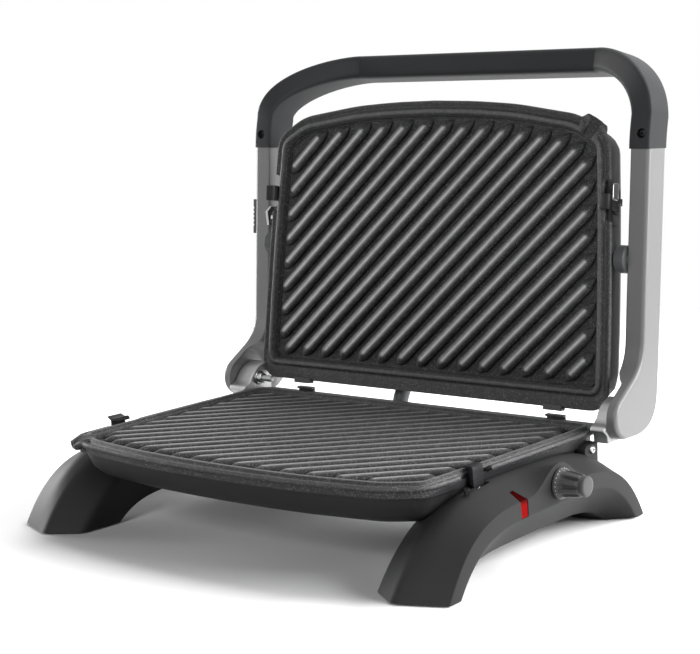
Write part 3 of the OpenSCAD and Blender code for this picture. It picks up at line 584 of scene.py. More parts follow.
def turned(profile, centre, steps=48):
    """Points and faces of a turned shape from (x, radius) pairs round an axis along X."""
    return loft([[Vector((x, centre[0] + r * math.cos(a), centre[1] + r * math.sin(a)))
                  for a in turns(steps)] for x, r in profile])


def slab(outline, start, end, edge, keep=None, steps=5, edge_start=None):
    """An outline in (y, z) stretched along X, with both rims rounded."""
    rims = []
    for x, way, size in ((start, 1, edge if edge_start is None else edge_start), (end, -1, edge)):
        arc = []
        for k in range(steps + 1):
            a = math.pi / 2 * k / steps
            arc.append((x + way * size * (1 - math.cos(a)), size * (1 - math.sin(a))))
        rims += arc if way > 0 else arc[::-1]
    rings = []
    for x, inset in rims:
        ring = grown(outline, -inset)
        if keep:
            ring = [keep(q, old) for q, old in zip(ring, outline)]
        rings.append([Vector((x, q.x, q.y)) for q in ring])
    return loft(rings)


def flipped(shape):
    """A shape on the other side of the middle plane."""
    points, faces = shape
    return [Vector((-p.x, p.y, p.z)) for p in points], [face[::-1] for face in faces]


def together(*shapes):
    """Several shapes as one."""
    points, faces = [], []
    for more, own in shapes:
        faces += [tuple(i + len(points) for i in face) for face in own]
        points += more
    return points, faces


def dress(node, material):
    """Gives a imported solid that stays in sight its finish."""
    mesh = NODES[node].data
    mesh.materials.clear()
    mesh.materials.append(material)
    for polygon in mesh.polygons:
        polygon.material_index = 0


def unit(v):
    return v.normalized()


def grown(outline, distance):
    """A closed outline moved outwards by a distance."""
    count = len(outline)
    moved = []
    for i, p in enumerate(outline):
        u = unit(p - outline[i - 1])
        v = unit(outline[(i + 1) % count] - p)
        moved.append(p + Vector((u.y + v.y, -u.x - v.x)) * distance / (1 + u.dot(v)))
    return moved


def rounded(outline, cuts, steps=4):
    """A closed outline with its corners cut back by the given lengths and rounded."""
    count = len(outline)
    made = []
    for i, p in enumerate(outline):
        if not cuts[i]:
            made.append(p)
            continue
        a = p - unit(p - outline[i - 1]) * cuts[i]
        c = p + unit(outline[(i + 1) % count] - p) * cuts[i]
        for k in range(steps + 1):
            t = k / steps
            made.append((1 - t) ** 2 * a + 2 * t * (1 - t) * p + t * t * c)
    return made


def ring_faces(around, rings, closed=False, flip=False):
    """Faces between rings of equal count; closed joins the last ring to the first."""
    faces = []
    for k in range(rings if closed else rings - 1):
        a, b = k * around, ((k + 1) % rings) * around
        for i in range(around):
            j = (i + 1) % around
            face = (a + i, b + i, b + j, a + j)
            faces.append(face[::-1] if flip else face)
    return faces


def loft(rings, caps=True, closed=False):
    """Points and faces of a skin through rings."""
    around = len(rings[0])
    points = [p for ring in rings for p in ring]
    faces = ring_faces(around, len(rings), closed)
    if caps and not closed:
        faces.append(tuple(range(around)))
        faces.append(tuple(reversed(range((len(rings) - 1) * around, len(rings) * around))))
    return points, faces


# ---------------------------------------------------------------- plates

HALF_W, TAPER, BOW = 157.0, 8.2, 1.3
SIDE_LEN, CHAMFER, FACET, PLATE_LEN = 176.7, (126.9, 189.7), (73.9, 197.6), 200.8
CREST_HALF, FLANGE, REAR_FLANGE = 2.2, 8.0, 5.0
LATCH_S, NOTCH_HALF = 136.0, 14.0
TAB_X = 120
LOWER = Matrix.Translation((0, 53.1, 67.6)) @ Matrix.Rotation(math.radians(0.75), 4, "X")
UPPER = (Matrix.Translation((0, 64.0, 87.6)) @ Matrix.Rotation(math.radians(-96.7), 4, "X")
         @ Matrix.Rotation(math.pi, 4, "Y"))


def half_width(s):
    return HALF_W - TAPER * s / SIDE_LEN + BOW * (1 - (2 * s / SIDE_LEN - 1) ** 2)


SPOUT = Vector((-(half_width(SIDE_LEN) + CHAMFER[0]) / 2, -(SIDE_LEN + CHAMFER[1]) / 2))
SPOUT_ALONG = unit(Vector((half_width(SIDE_LEN) - CHAMFER[0], SIDE_LEN - CHAMFER[1])))
SPOUT_REACH = 19.0
SPOUT_SPREAD = 1.62  # how much further out the border runs at the spout
SHELF_Z, SHELF_FROM = -1.9, 2.6  # height of the flange where a notch or the rear lowers it


def crest_outline():
    """The crest line round the plate, rear edge on y = 0, with close points at the spout."""
    notch = [LATCH_S + side * (NOTCH_HALF + d) for side in (-1, 1) for d in (-0.9, 0.9)]
    sides = sorted([k * SIDE_LEN / 12 for k in range(1, 12)] + notch)
    sides = [s for s in sides if s in notch or min(abs(s - n) for n in notch) > 3]
    right = [(half_width(0), 0, 8)] + [(half_width(s), -s, 0) for s in sides]
    right += [(half_width(SIDE_LEN), -SIDE_LEN, 6), (CHAMFER[0], -CHAMFER[1], 8)]
    mid = (FACET[1] + 3 * PLATE_LEN) / 4
    right += [(FACET[0], -FACET[1], 12), (FACET[0] / 2, -mid, 10)]
    whole = [(-x, y, c) for x, y, c in right] + [(0, -PLATE_LEN, 0)] + right[::-1]
    made = rounded([Vector((x, y)) for x, y, c in whole], [c for x, y, c in whole], 6)
    fine = []
    for a, b in zip(made, made[1:] + made[:1]):
        fine.append(a)
        if min((a - SPOUT).length, (b - SPOUT).length) < SPOUT_REACH:
            count = math.ceil((b - a).length / 1.1)
            fine += [a + (b - a) * k / count for k in range(1, count)]
    return fine


CREST = crest_outline()


def spout_place(q):
    """Distance of a crest point from the spout's middle, along the corner's edge."""
    return (q - SPOUT).dot(SPOUT_ALONG) if (q - SPOUT).length < SPOUT_REACH else 99.0


SPOUT_AT = [spout_place(q) for q in CREST]


def swell(t, half, soft):
    """1 within the half width, falling smoothly to 0 over the soft length."""
    x = max(0.0, min(1.0, (half + soft - abs(t)) / soft))
    return x * x * (3 - 2 * x)


def rim(distance):
    """The crest line moved outwards, with the wider flange at the rear."""
    draw = max(0.0, -4.0 - distance)
    mid = -PLATE_LEN / 2
    sx, sy = 1 - draw / HALF_W, 1 - draw / (PLATE_LEN / 2)
    share = max(0.0, min(1.0, (distance - CREST_HALF) / (FLANGE - CREST_HALF)))
    made = []
    for q in grown(CREST, max(distance, -4.0)):
        rear = max(0.0, min(1.0, 1 + q.y / 20))
        made.append(Vector((q.x * sx, mid + (q.y - mid) * sy + REAR_FLANGE * rear * share)))
    return made


def level(outline, z):
    return [Vector((q.x, q.y, z)) for q in outline]


# Section of the border: distance from the crest line and height
BORDER = [(-7, -6), (-5.6, -5.97), (-4.9, -5.7), (-4.3, -5.0), (-3.6, -3.4), (-3.0, -2.0),
          (-2.4, -0.95), (-1.7, -0.3), (-0.8, -0.03), (0.1, 0), (0.9, -0.1), (1.6, -0.5),
          (2.2, -1.4), (2.7, -2.4), (3.2, -3.0), (3.8, -3.15), (4.4, -2.95), (4.9, -2.3),
          (5.3, -1.7), (5.9, -1.35), (6.6, -1.3), (7.2, -1.5), (7.7, -2.0), (7.95, -2.8),
          (8, -3.6)]
UNDER = [(7.8, -4.2), (7.3, -4.7), (6.4, -4.9), (5.5, -4.9), (5.2, None), (4.6, None),
         (4.5, -5.0), (-5, -5.0), (-6, -8.5), (-7, -8.5)]


def border_rings():
    """Rings of the border, with the flange cut away in the notches and the spout drawn out."""
    sections = BORDER + UNDER
    rims = [rim(d) for d, h in sections]
    foot = rim(SHELF_FROM)
    rings = []
    for k, (d, h) in enumerate(sections):
        ring = []
        outer = rim(1 + (d - 1) * SPOUT_SPREAD) if d > 1 else rims[k]
        for i, q in enumerate(rims[k]):
            z = h
            if h is None:
                front = max(0.0, min(1.0, (-q.y - SIDE_LEN) / 8 + 1))
                z = -6.2 - 2.8 * front
            rear = max(0.0, min(1.0, 1 + (q.y - REAR_FLANGE) / 12)) if q.y > -9 else 0.0
            if h is not None and d > SHELF_FROM and k < len(BORDER):
                drop = min(SHELF_Z, h) - z if h > SHELF_Z else (SHELF_Z - z) * (h > -3.2)
                z += drop * rear
            if abs(-q.y - LATCH_S) < NOTCH_HALF and d > SHELF_FROM:
                q = foot[i]
                z = min(z, SHELF_Z - (d - SHELF_FROM) * 0.6) if h is not None else -6.2
            cheek = swell(SPOUT_AT[i], 7.2, 3.6)
            if cheek > 0:
                away = max(0.0, 1 + (d - 1) * SPOUT_SPREAD - 2)
                q = q + (outer[i] - q) * cheek
                if k < len(BORDER):
                    lip = -0.1 - 0.036 * away ** 2 if d > 0 else h
                    z = z + (lip - z) * cheek
                    low = -4.3 - 0.022 * away ** 2 - 0.25 * max(0.0, -d - 3)
                    channel = swell(SPOUT_AT[i], 3.4, 2.4)
                    z = z + (min(z, low) - z) * channel
                elif d > 6 and h is not None:
                    z -= 2.4 * cheek
            ring.append(Vector((q.x, q.y, z)))
        rings.append(ring)
    return rings


RIB_PITCH, RIB_SLANT, RIB_SHIFT, RIB_INSET = 19.34, 1.06, 6.2, 6.0


def inside_span(p, v, region):
    """Stretch of the line p + t v inside a convex outline."""
    enter, leave = -1e9, 1e9
    for i, a in enumerate(region):
        e = region[(i + 1) % len(region)] - a
        n = Vector((e.y, -e.x))
        rate, room = n.dot(v), n.dot(a - p)
        if rate < -1e-6:
            enter = max(enter, room / rate)
        elif rate > 1e-6:
            leave = min(leave, room / rate)
    return enter, leave


def rib_lines():
    """End points of every rib, by the rule of equal spacing and one slant."""
    v = unit(Vector((RIB_SLANT, 1)))
    region = rim(-RIB_INSET)
    first = -HALF_W - PLATE_LEN * RIB_SLANT / 2
    lines = []
    for k in range(math.ceil((2 * HALF_W + PLATE_LEN * RIB_SLANT) / RIB_PITCH) + 1):
        p = Vector((-(first + RIB_SHIFT + k * RIB_PITCH), -PLATE_LEN / 2))
        a, b = inside_span(p, v, region)
        if b - a > 18:
            lines.append((p + a * v, p + b * v))
    return lines


class Growth:
    """A node tree that grows one kind of repeated shape from a mesh."""

    def __init__(self, name, **numbers):
        self.tree = bpy.data.node_groups.new(name, "GeometryNodeTree")
        face = self.tree.interface
        face.new_socket("Geometry", in_out="INPUT", socket_type="NodeSocketGeometry")
        self.keys = {}
        for key, value in numbers.items():
            made = face.new_socket(key.replace("_", " "), in_out="INPUT",
                                   socket_type="NodeSocketFloat")
            made.default_value = value
            self.keys[key] = made.identifier
        face.new_socket("Geometry", in_out="OUTPUT", socket_type="NodeSocketGeometry")
        self.given = self.tree.nodes.new("NodeGroupInput")
        self.result = self.tree.nodes.new("NodeGroupOutput")

    def node(self, kind, settings=(), *values, **named):
        node = self.tree.nodes.new(kind)
        for key, value in dict(settings).items():
            setattr(node, key, value)
        pairs = list(zip(node.inputs, values))
        pairs += [(node.inputs[key.replace("_", " ")], value) for key, value in named.items()]
        for socket, value in pairs:
            if isinstance(value, bpy.types.NodeSocket):
                self.tree.links.new(value, socket)
            elif value is not None:
                socket.default_value = value
        return node.outputs[0]

    def maths(self, operation, *values):
        return self.node("ShaderNodeMath", {"operation": operation}, *values)

    def ends(self, geometry, material):
        """Real geometry with its finish, as the tree's result."""
        real = self.node("GeometryNodeRealizeInstances", (), geometry)
        painted = self.node("GeometryNodeSetMaterial", (), Geometry=real, Material=material)
        self.tree.links.new(painted, self.result.inputs[0])

    def grow(self, name, mesh, **numbers):
        """The tree's result on a mesh, as one plain mesh."""
        piece = linked(name, mesh)
        change = piece.modifiers.new("growth", "NODES")
        change.node_group = self.tree
        for key, value in numbers.items():
            change[self.keys[key]] = value
        bpy.context.view_layer.update()
        return baked(piece)


def rib_growth(material):
    """Lines become rounded ribs with short tapered ends."""
    g = Growth("ribs", Half_Width=3.3 * MM, Height=5 * MM, Taper=6 * MM)
    given = g.given.outputs
    curve = g.node("GeometryNodeMeshToCurve", (), given["Geometry"])
    fine = g.node("GeometryNodeResampleCurve", (), Curve=curve, Count=72)
    along = g.tree.nodes.new("GeometryNodeSplineParameter").outputs["Length"]
    whole = g.tree.nodes.new("GeometryNodeSplineLength").outputs[0]
    near = g.maths("MINIMUM", g.maths("SUBTRACT", whole, along), along)
    share = g.maths("MINIMUM", g.maths("DIVIDE", near, given["Taper"]), 1.0)
    round_end = g.maths("SUBTRACT", 1.0, g.maths("POWER", g.maths("SUBTRACT", 1.0, share), 1.5))
    radius = g.maths("MAXIMUM", g.maths("POWER", round_end, 0.9), 0.03)
    shaped = g.node("GeometryNodeSetCurveRadius", (), Curve=fine, Radius=radius)
    upright = g.tree.nodes.new("GeometryNodeSetCurveNormal")
    upright.mode = "Z_UP"
    g.tree.links.new(shaped, upright.inputs["Curve"])
    circle = g.node("GeometryNodeCurvePrimitiveCircle", (), Resolution=20, Radius=1.0)
    at = g.tree.nodes.new("ShaderNodeSeparateXYZ")
    g.tree.links.new(g.node("GeometryNodeInputPosition"), at.inputs[0])
    lean = g.maths("SUBTRACT", 1.0, g.maths("MULTIPLY", at.outputs[1], 0.60))
    ridged = g.node("ShaderNodeCombineXYZ", (), g.maths("MULTIPLY", at.outputs[0], lean),
                    at.outputs[1], 0.0)
    shaped_circle = g.node("GeometryNodeSetPosition", (), Geometry=circle, Position=ridged)
    scale = g.node("ShaderNodeCombineXYZ", (), given["Half Width"], given["Height"], 1.0)
    section = g.node("GeometryNodeTransform", (), Geometry=shaped_circle, Scale=scale)
    skin = g.tree.nodes.new("GeometryNodeCurveToMesh")
    g.tree.links.new(upright.outputs[0], skin.inputs["Curve"])
    g.tree.links.new(section, skin.inputs["Profile Curve"])
    skin.inputs["Fill Caps"].default_value = True
    g.tree.links.new(g.node("GeometryNodeInputNamedAttribute", (), Name="radius"),
                     skin.inputs["Scale"])
    g.ends(skin.outputs[0], material)
    return g


BEAD_Z = -2.4


def mark_crest_highlight(piece, place, low, high, most=1.0, bead=0.0):
    """Marks the tops of a plate's mesh by their height, and its flange bead, where the coating gets
    a painted highlight.
    """
    back = (Matrix.Translation(HOME) @ Matrix.Scale(MM, 4) @ place).inverted()
    mark = piece.data.attributes.new("crest", "FLOAT", "POINT")
    for vertex in piece.data.vertices:
        z = (back @ vertex.co).z
        # The flange bead gets a painted highlight of its own, by its height.
        side = bead * max(0.0, 1 - abs(z - BEAD_Z) / 1.4)
        mark.data[vertex.index].value = max(side, min(1.0, (z - low) / (high - low)) * most)


def bent_tab(x):
    """Hook on the rear flange that finds its place in the deck."""
    path = [Vector(q) for q in ((11.5, -4.5), (15.0, -4.5), (15.0, 1.2), (11.0, 1.2),
                                (11.0, -0.4), (13.2, -0.4), (13.2, -3.0), (11.5, -3.0))]
    points, faces = slab(path, x - 8, x + 8, 0.5, steps=2)
    return points, faces


def plate_piece(name, node, body, place, ribs_tree, wear_and_highlight):
    """One ribbed plate: border, floor, spout, tabs and, from the node tree, its ribs."""
    s = sizes()
    rings = border_rings()
    around = len(CREST)
    points = [p for ring in rings for p in ring]
    faces = ring_faces(around, len(rings), closed=True)
    base = len(points)
    inner = rim(-7)
    points += level(inner, -6.0) + level(inner, -8.5)
    faces.append(tuple(base + i for i in reversed(range(around))))
    faces.append(tuple(base + around + i for i in range(around)))
    shape = together((points, faces), bent_tab(-TAB_X), bent_tab(TAB_X))
    plate = new_piece(name, *shape, coating(), body, "nonstick_aluminium", (node,),
                      angle=50, local=place)
    # Painted highlight on the border's crest and on the flange bead.
    mark_crest_highlight(plate, place, -0.5, -0.05, 0.3, 0.3)
    lines = rib_lines()
    flat = [Vector((q.x, q.y, 0)) * MM for pair in lines for q in pair]
    mesh = bpy.data.meshes.new(name + "_ribs")
    mesh.from_pydata(flat, [(2 * i, 2 * i + 1) for i in range(len(lines))], [])
    ribs = ribs_tree.grow(name + "_ribs", mesh, Half_Width=s.rib_half_width * MM,
                          Height=s.rib_height * MM, Taper=s.rib_taper * MM)
    turn = Matrix.Translation(HOME) @ Matrix.Translation(place.translation * MM) \
        @ place.to_3x3().to_4x4()
    ribs.data.transform(turn @ Matrix.Translation((0, 0, -s.floor_depth * MM)))
    smoothed(ribs.data, 60)
    # Painted highlight along the ribs' crests, at the strength given for this plate.
    mark_crest_highlight(ribs, place, -1.36, -1.02, wear_and_highlight)
    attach(ribs, body)


class GRILL_OT_plates(bpy.types.Operator):
    """Makes the two ribbed plates"""

    bl_idname = "grill.plates"
    bl_label = "Grill Plates"

    def execute(self, context):
        ribs_tree = rib_growth(coating())
        # The last number is the strength of the painted highlight on each plate's rib crests.
        plate_piece("lower_plate_casting", "lower_plate", "base", LOWER, ribs_tree, 0.8)
        plate_piece("upper_plate_casting", "upper_plate", "lid", UPPER, ribs_tree, 1.0)
        return {"FINISHED"}


# ---------------------------------------------------------------- fasteners


def fasteners(name, spots, head, material, body, replaces=()):
    """A head set at every (place, axis) by a node tree, as one mesh."""
    points, faces = head
    mesh = bpy.data.meshes.new("head")
    mesh.from_pydata([Vector(p) * MM for p in points], [], faces)
    cleaned(mesh)
    pattern = linked("head", mesh)
    g = Growth(name, Scale=1.0)
    axis = g.tree.nodes.new("GeometryNodeInputNamedAttribute")
    axis.data_type = "FLOAT_VECTOR"
    axis.inputs["Name"].default_value = "axis"
    turned = g.tree.nodes.new("FunctionNodeAlignRotationToVector")
    turned.axis = "Z"
    g.tree.links.new(axis.outputs[0], turned.inputs["Vector"])
    shown = g.tree.nodes.new("GeometryNodeObjectInfo")
    shown.inputs["Object"].default_value = pattern
    spread = g.node("GeometryNodeInstanceOnPoints", (), Points=g.given.outputs["Geometry"],
                    Instance=shown.outputs["Geometry"], Rotation=turned.outputs[0],
                    Scale=g.node("ShaderNodeCombineXYZ", (), *[g.given.outputs["Scale"]] * 3))
    g.ends(spread, material)
    at = bpy.data.meshes.new(name)
    at.from_pydata([placed(p) for p, way in spots], [], [])
    kept = at.attributes.new("axis", "FLOAT_VECTOR", "POINT")
    for i, (p, way) in enumerate(spots):
        kept.data[i].vector = unit(Vector(way))
    piece = g.grow(name, at, Scale=1.0)
    bpy.data.objects.remove(pattern)
    smoothed(piece.data, 32)
    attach(piece, body)
    if replaces:
        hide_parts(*replaces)
    return piece


def cross_head(radius, height, shank=0.0, shank_r=1.4):
    """Points and faces of a domed screw head with a cross recess, its seat on z = 0."""
    sides = 32
    rings = []

    def ring(r, z, cross=0.0):
        made = []
        for a in turns(sides):
            near = max(abs(math.cos(2 * a)), 1e-3)
            size = r * (1 - cross * (1 - near ** 3))
            made.append(Vector((size * math.cos(a), size * math.sin(a), z)))
        rings.append(made)

    if shank:
        ring(shank_r, -shank)
        ring(shank_r, 0.0)
    for r, z in ((1.0, 0.0), (1.0, 0.35), (0.93, 0.62), (0.75, 0.86), (0.6, 0.96)):
        ring(radius * r, height * z)
    ring(radius * 0.5, height * 0.98, 0.62)
    ring(radius * 0.46, height * 0.9, 0.66)
    ring(radius * 0.3, height * 0.25, 0.7)
    return loft(rings)


# ---------------------------------------------------------------- base


class GRILL_OT_base(bpy.types.Operator):
    """Makes the base pan and dresses what belongs to it"""

    bl_idname = "grill.base"
    bl_label = "Base Pan"

    def execute(self, context):
        softened_node("base_pan", "base", graphite(), 0.9, 3, 50, shade=50)
        softened_node("base_deck", "base", soft_black(), 0.5, 2, 50, shade=50)
        for node, paint in (("foot_pads", finish_of("pad rubber", pad_rubber)),
                            ("cord_gland", soft_black()), ("lead_bushings", soft_black())):
            dress(node, paint)
        spots = [((x, y, 36.5), (0, 0, -1)) for x in (-90, 90) for y in (-69.9, 10.1)]
        fasteners("base_screw_heads", spots, cross_head(3.3, 1.6), steel(), "base",
                  ("base_screws",))
        return {"FINISHED"}


# ---------------------------------------------------------------- side arches

ARCH_MID, PAD, ARCH_OUT = -36.5, 1.0, 187.0
ARCH_EDGES = [  # x, half span on the table, height, flatness, rounding
    (129, 79.5, 16.5, 4.6, 2.0), (130, 111.5, 46.0, 3.3, 5.0), (153, 125.5, 55.0, 3.7, 4.0),
    (165, 121.3, 58.0, 4.0, 5.5), (ARCH_OUT, 113.3, 46.0, 4.6, 1.0),
    (ARCH_OUT, 101.8, 35.0, 4.6, 1.2), (170, 87.8, 14.5, 5.0, 1.5)]
KNOB_Y, KNOB_Z = -31.3, 48.0
POD_RISE, POD_HALF, POD_FROM = 16.0, 33.0, 163.0
RIDGE_END = 23  # the last point of the ridge's rounding in a section
POD_POINTS = range(18, 37)  # the section's points that the knob's pad lifts
BASE_CORNER = [(31, 38), (48, 30), (48, 57.3), (34, 57.3), (31, 54.5)]


def arch_shape(pod):
    """Skin of a right arch through sections from foot to foot."""
    rings = []
    for step in range(-60, 61):
        t = math.sin(math.radians(1.5 * step))
        section = [Vector((x, ARCH_MID + span * t, PAD + (top - PAD) * (1 - abs(t) ** flat)))
                   for x, span, top, flat, cut in ARCH_EDGES]
        soft = rounded(section, [edge[4] for edge in ARCH_EDGES], 5)
        ring = []
        for i, p in enumerate(soft):
            ring.append(p)
            if i == RIDGE_END:
                ring += [p + (soft[i + 1] - p) * k / 8 for k in range(1, 8)]
        made = []
        for i, p in enumerate(ring):
            lift = 0.0
            if pod and i in POD_POINTS and abs(p.y - KNOB_Y) < POD_HALF and p.x > POD_FROM:
                near = (1 + math.cos(math.pi * (p.y - KNOB_Y) / POD_HALF)) / 2
                part = min(1.0, (p.x - POD_FROM) / (ARCH_OUT - POD_FROM))
                lift = POD_RISE * near * part ** 1.6
            made.append(Vector((p.x, p.y, p.z + lift)))
        rings.append(made)
    return loft(rings)


def yz_block(outline, start, end):
    """An outline in (y, z) stretched along X."""
    return loft([[Vector((x, y, z)) for y, z in outline] for x in (start, end)])


WINDOW = [Vector(q) for q in ((-74.4, 34.8), (-67.6, 34.8), (-68.2, 46), (-71.6, 51.5),
                              (-74.0, 51.5), (-75.4, 46))]


def latch_room(side, travel, on=0.0):
    """The space that a latch or clip needs in the side arch."""
    low = (latch_x() - 0.4, -LATCH_S - on - 6.4, -17.4)
    high = (latch_x() + 5.2 + travel, -LATCH_S - on + 6.4, 12.6)
    points, faces = block(low, high)
    points = [LOWER @ Vector((side * p.x, p.y, p.z)) for p in points]
    return points, faces


def latch_x():
    """Distance of a latch's inner face from the middle plane."""
    return half_width(LATCH_S) + 5


class GRILL_OT_arches(bpy.types.Operator):
    """Makes the two side arches"""

    bl_idname = "grill.arches"
    bl_label = "Side Arches"

    def execute(self, context):
        corner = slab([Vector(q) for q in BASE_CORNER], 129, 167.2, 0.8, steps=3)
        right = new_piece("arch_right_shell", *arch_shape(True), graphite(), "base",
                          "graphite_plastic", ("arch_right",))
        window = new_piece("pilot_window_strip", *arch_shape(True),
                           finish_of("window red", window_red), "base", "signal_red",
                           ("pilot_window",))
        gap = [(q.x, q.y) for q in grown(WINDOW, 0.35)]
        carve(right, yz_block(gap, 177, 200))
        carve(window, yz_block([(q.x, q.y) for q in WINDOW], 178, 186.6), "INTERSECT")
        carve(right, latch_room(1, 3))
        carve(right, corner, "UNION")
        left = new_piece("arch_left_shell", *flipped(arch_shape(False)), graphite(), "base",
                         "graphite_plastic", ("arch_left",))
        carve(left, latch_room(-1, 0, CLIP_ON))
        carve(left, flipped(corner), "UNION")
        dress("pilot_lamp", finish_of("lamp glass", moulded, (0.8, 0.25, 0.04), 0.2))
        return {"FINISHED"}


# ---------------------------------------------------------------- knob


class GRILL_OT_knob(bpy.types.Operator):
    """Makes the control knob with its dotted skirt"""

    bl_idname = "grill.knob"
    bl_label = "Control Knob"

    def execute(self, context):
        s = sizes()
        start = ARCH_OUT + 0.3
        profile = [(0, 0.5), (0, 10.0), (0.3, 10.4), (1.2, 10.5), (1.9, 10.35), (2.9, 9.55),
                   (3.2, 9.2), (3.6, 9.0), (4.2, 8.9), (6, 8.75), (8, 8.55), (10, 8.35), (12, 8.1),
                   (14, 7.85), (15.4, 7.65), (16.3, 7.45), (16.8, 7.1), (17.1, 6.8), (17.4, 6.75),
                   (17.8, 6.85), (20.3, 6.8), (20.9, 6.5), (21.2, 5.9), (21.3, 5.0), (21.3, 0.5)]
        steps = 160
        rings = []
        for x, r in profile:
            ring = []
            for a in turns(steps):
                cut = 0.0
                if 3.2 < x < 17.0:
                    ends = min(1.0, (x - 3.2) / 2.4, (17.0 - x) / 1.2)
                    cut = 1.9 * ends * max(0.0, math.cos(s.flutes * a)) ** 1.3
                ring.append(Vector((start + x, KNOB_Y + (r - cut) * math.cos(a),
                                    KNOB_Z + (r - cut) * math.sin(a))))
            rings.append(ring)
        points, faces = loft(rings)
        new_piece("knob_body", points, faces, knob_black(), "knob", "soft_black",
                  ("control_knob",), angle=40)
        spots = []
        for a in turns(s.dial_dots):
            way = Vector((0.63, math.cos(a) * 0.78, math.sin(a) * 0.78))
            spots.append(((start + 2.4, KNOB_Y + 9.97 * math.cos(a), KNOB_Z + 9.97 * math.sin(a)),
                          way))
        dot = loft([[Vector((r * math.cos(b), r * math.sin(b), z))
                     for b in turns(10)]
                    for r, z in ((0.24, -0.1), (0.24, 0.03), (0.15, 0.07))])
        fasteners("dial_dots", spots, dot, finish_of("dial white", moulded, (0.8, 0.8, 0.78), 0.5),
                  "knob")
        dress("thermostat_shaft", steel())
        return {"FINISHED"}


# ---------------------------------------------------------------- arms, hinge and handle

ARM_IN, ARM_HOLLOW, ARM_OUT, ARM_TOP = 170.8, 178.4, 186.3, 259.0
LEAN = math.radians(4.5)
ARM_HALF = 24.5 / 2 / math.cos(LEAN)
END_R = 15.5
LOCK_Z = 202.0


def arm_mid(z):
    return HINGE_Y + 33.7 + (z - HINGE_Z - 25.5) * math.tan(LEAN)


def arm_outline():
    """Side view of an arm, from the top of its front edge anticlockwise."""
    made = [Vector((arm_mid(ARM_TOP) - ARM_HALF, ARM_TOP)),
            Vector((arm_mid(108) - ARM_HALF, 108)),
            Vector((HINGE_Y - 0.6 * END_R, HINGE_Z + 0.8 * END_R))]
    cuts = [0, 16, 0]
    for degrees in range(135, 271, 9):
        a = math.radians(degrees)
        made.append(Vector((HINGE_Y + END_R * math.cos(a), HINGE_Z + END_R * math.sin(a))))
        cuts.append(0)
    made += [Vector((HINGE_Y + 42, HINGE_Z - 16.3)), Vector((arm_mid(102.5) + ARM_HALF, 102.5)),
             Vector((arm_mid(ARM_TOP) + ARM_HALF, ARM_TOP))]
    cuts += [28, 10, 0]
    return rounded(made, cuts, 10)


def top_kept(q, old):
    """Keeps the arm's upper end flat and full under the handle."""
    if abs(old.y - ARM_TOP) < 0.01:
        return Vector((q.x, ARM_TOP))
    return q


class GRILL_OT_arms(bpy.types.Operator):
    """Makes the two arms and the pivot bosses"""

    bl_idname = "grill.arms"
    bl_label = "Arms"

    def execute(self, context):
        edge = sizes().arm_edge
        shape = slab(arm_outline(), ARM_IN, ARM_OUT, edge, top_kept, 6, 1.6)
        hollow = turned([(ARM_IN - 1, 0.01), (ARM_IN - 1, 36), (ARM_IN, 34), (ARM_IN + 1.2, 31),
                         (ARM_IN + 3.2, 27.5), (ARM_IN + 5.4, 25), (ARM_HOLLOW - 0.5, 23.5),
                         (ARM_HOLLOW, 22), (ARM_HOLLOW, 0.01)], (HINGE_Y, HINGE_Z), 72)
        right = new_piece("arm_right_finished", *shape, silver(), "arms", "satin_aluminium",
                          ("arm_right",))
        left = new_piece("arm_left_finished", *flipped(shape), silver(), "arms",
                         "satin_aluminium", ("arm_left",))
        carve(right, hollow)
        carve(left, flipped(hollow))
        lock_y = arm_mid(LOCK_Z)
        slot = []
        for centre, sweep in ((7.4, range(0, 181, 15)), (-0.4, range(180, 361, 15))):
            for degrees in sweep:
                a = math.radians(degrees)
                slot.append((lock_y + centre * math.sin(LEAN) + 3.3 * math.cos(a),
                             LOCK_Z + centre * math.cos(LEAN) + 3.3 * math.sin(a)))
        carve(left, yz_block(slot, -ARM_OUT - 1, -ARM_IN + 1))
        even_normals(right)
        even_normals(left)
        bosses = softened_node("pivot_bosses", "arms", grey_plastic(), 1.2)
        pin_end = block((ARM_IN + 1.5, 60, 140), (ARM_OUT + 5, 130, 220))
        carve(bosses, pin_end)
        carve(bosses, flipped(pin_end))
        return {"FINISHED"}


BRACKET_OUT = ARM_HOLLOW - 0.5
BRACKET_IN = ARM_IN - 5.2
LEFT_IN = 4.0  # how much further in the left bracket and bolt reach
# y and z from the hinge line, and how far each corner is cut back
BRACKET = [(-12.3, -17.2, 1.5), (13.5, -17.2, 2.0), (15.0, 2.0, 3.0), (13.0, 11.0, 2.5),
           (8.5, 12.5, 2.2), (-1.0, 9.0, 3.2), (-6.5, 4.0, 3.0), (-10.5, -2.5, 2.8),
           (-16.5, -5, 1.4), (-17.6, -8, 1.4), (-12.4, -11.8, 2.4)]


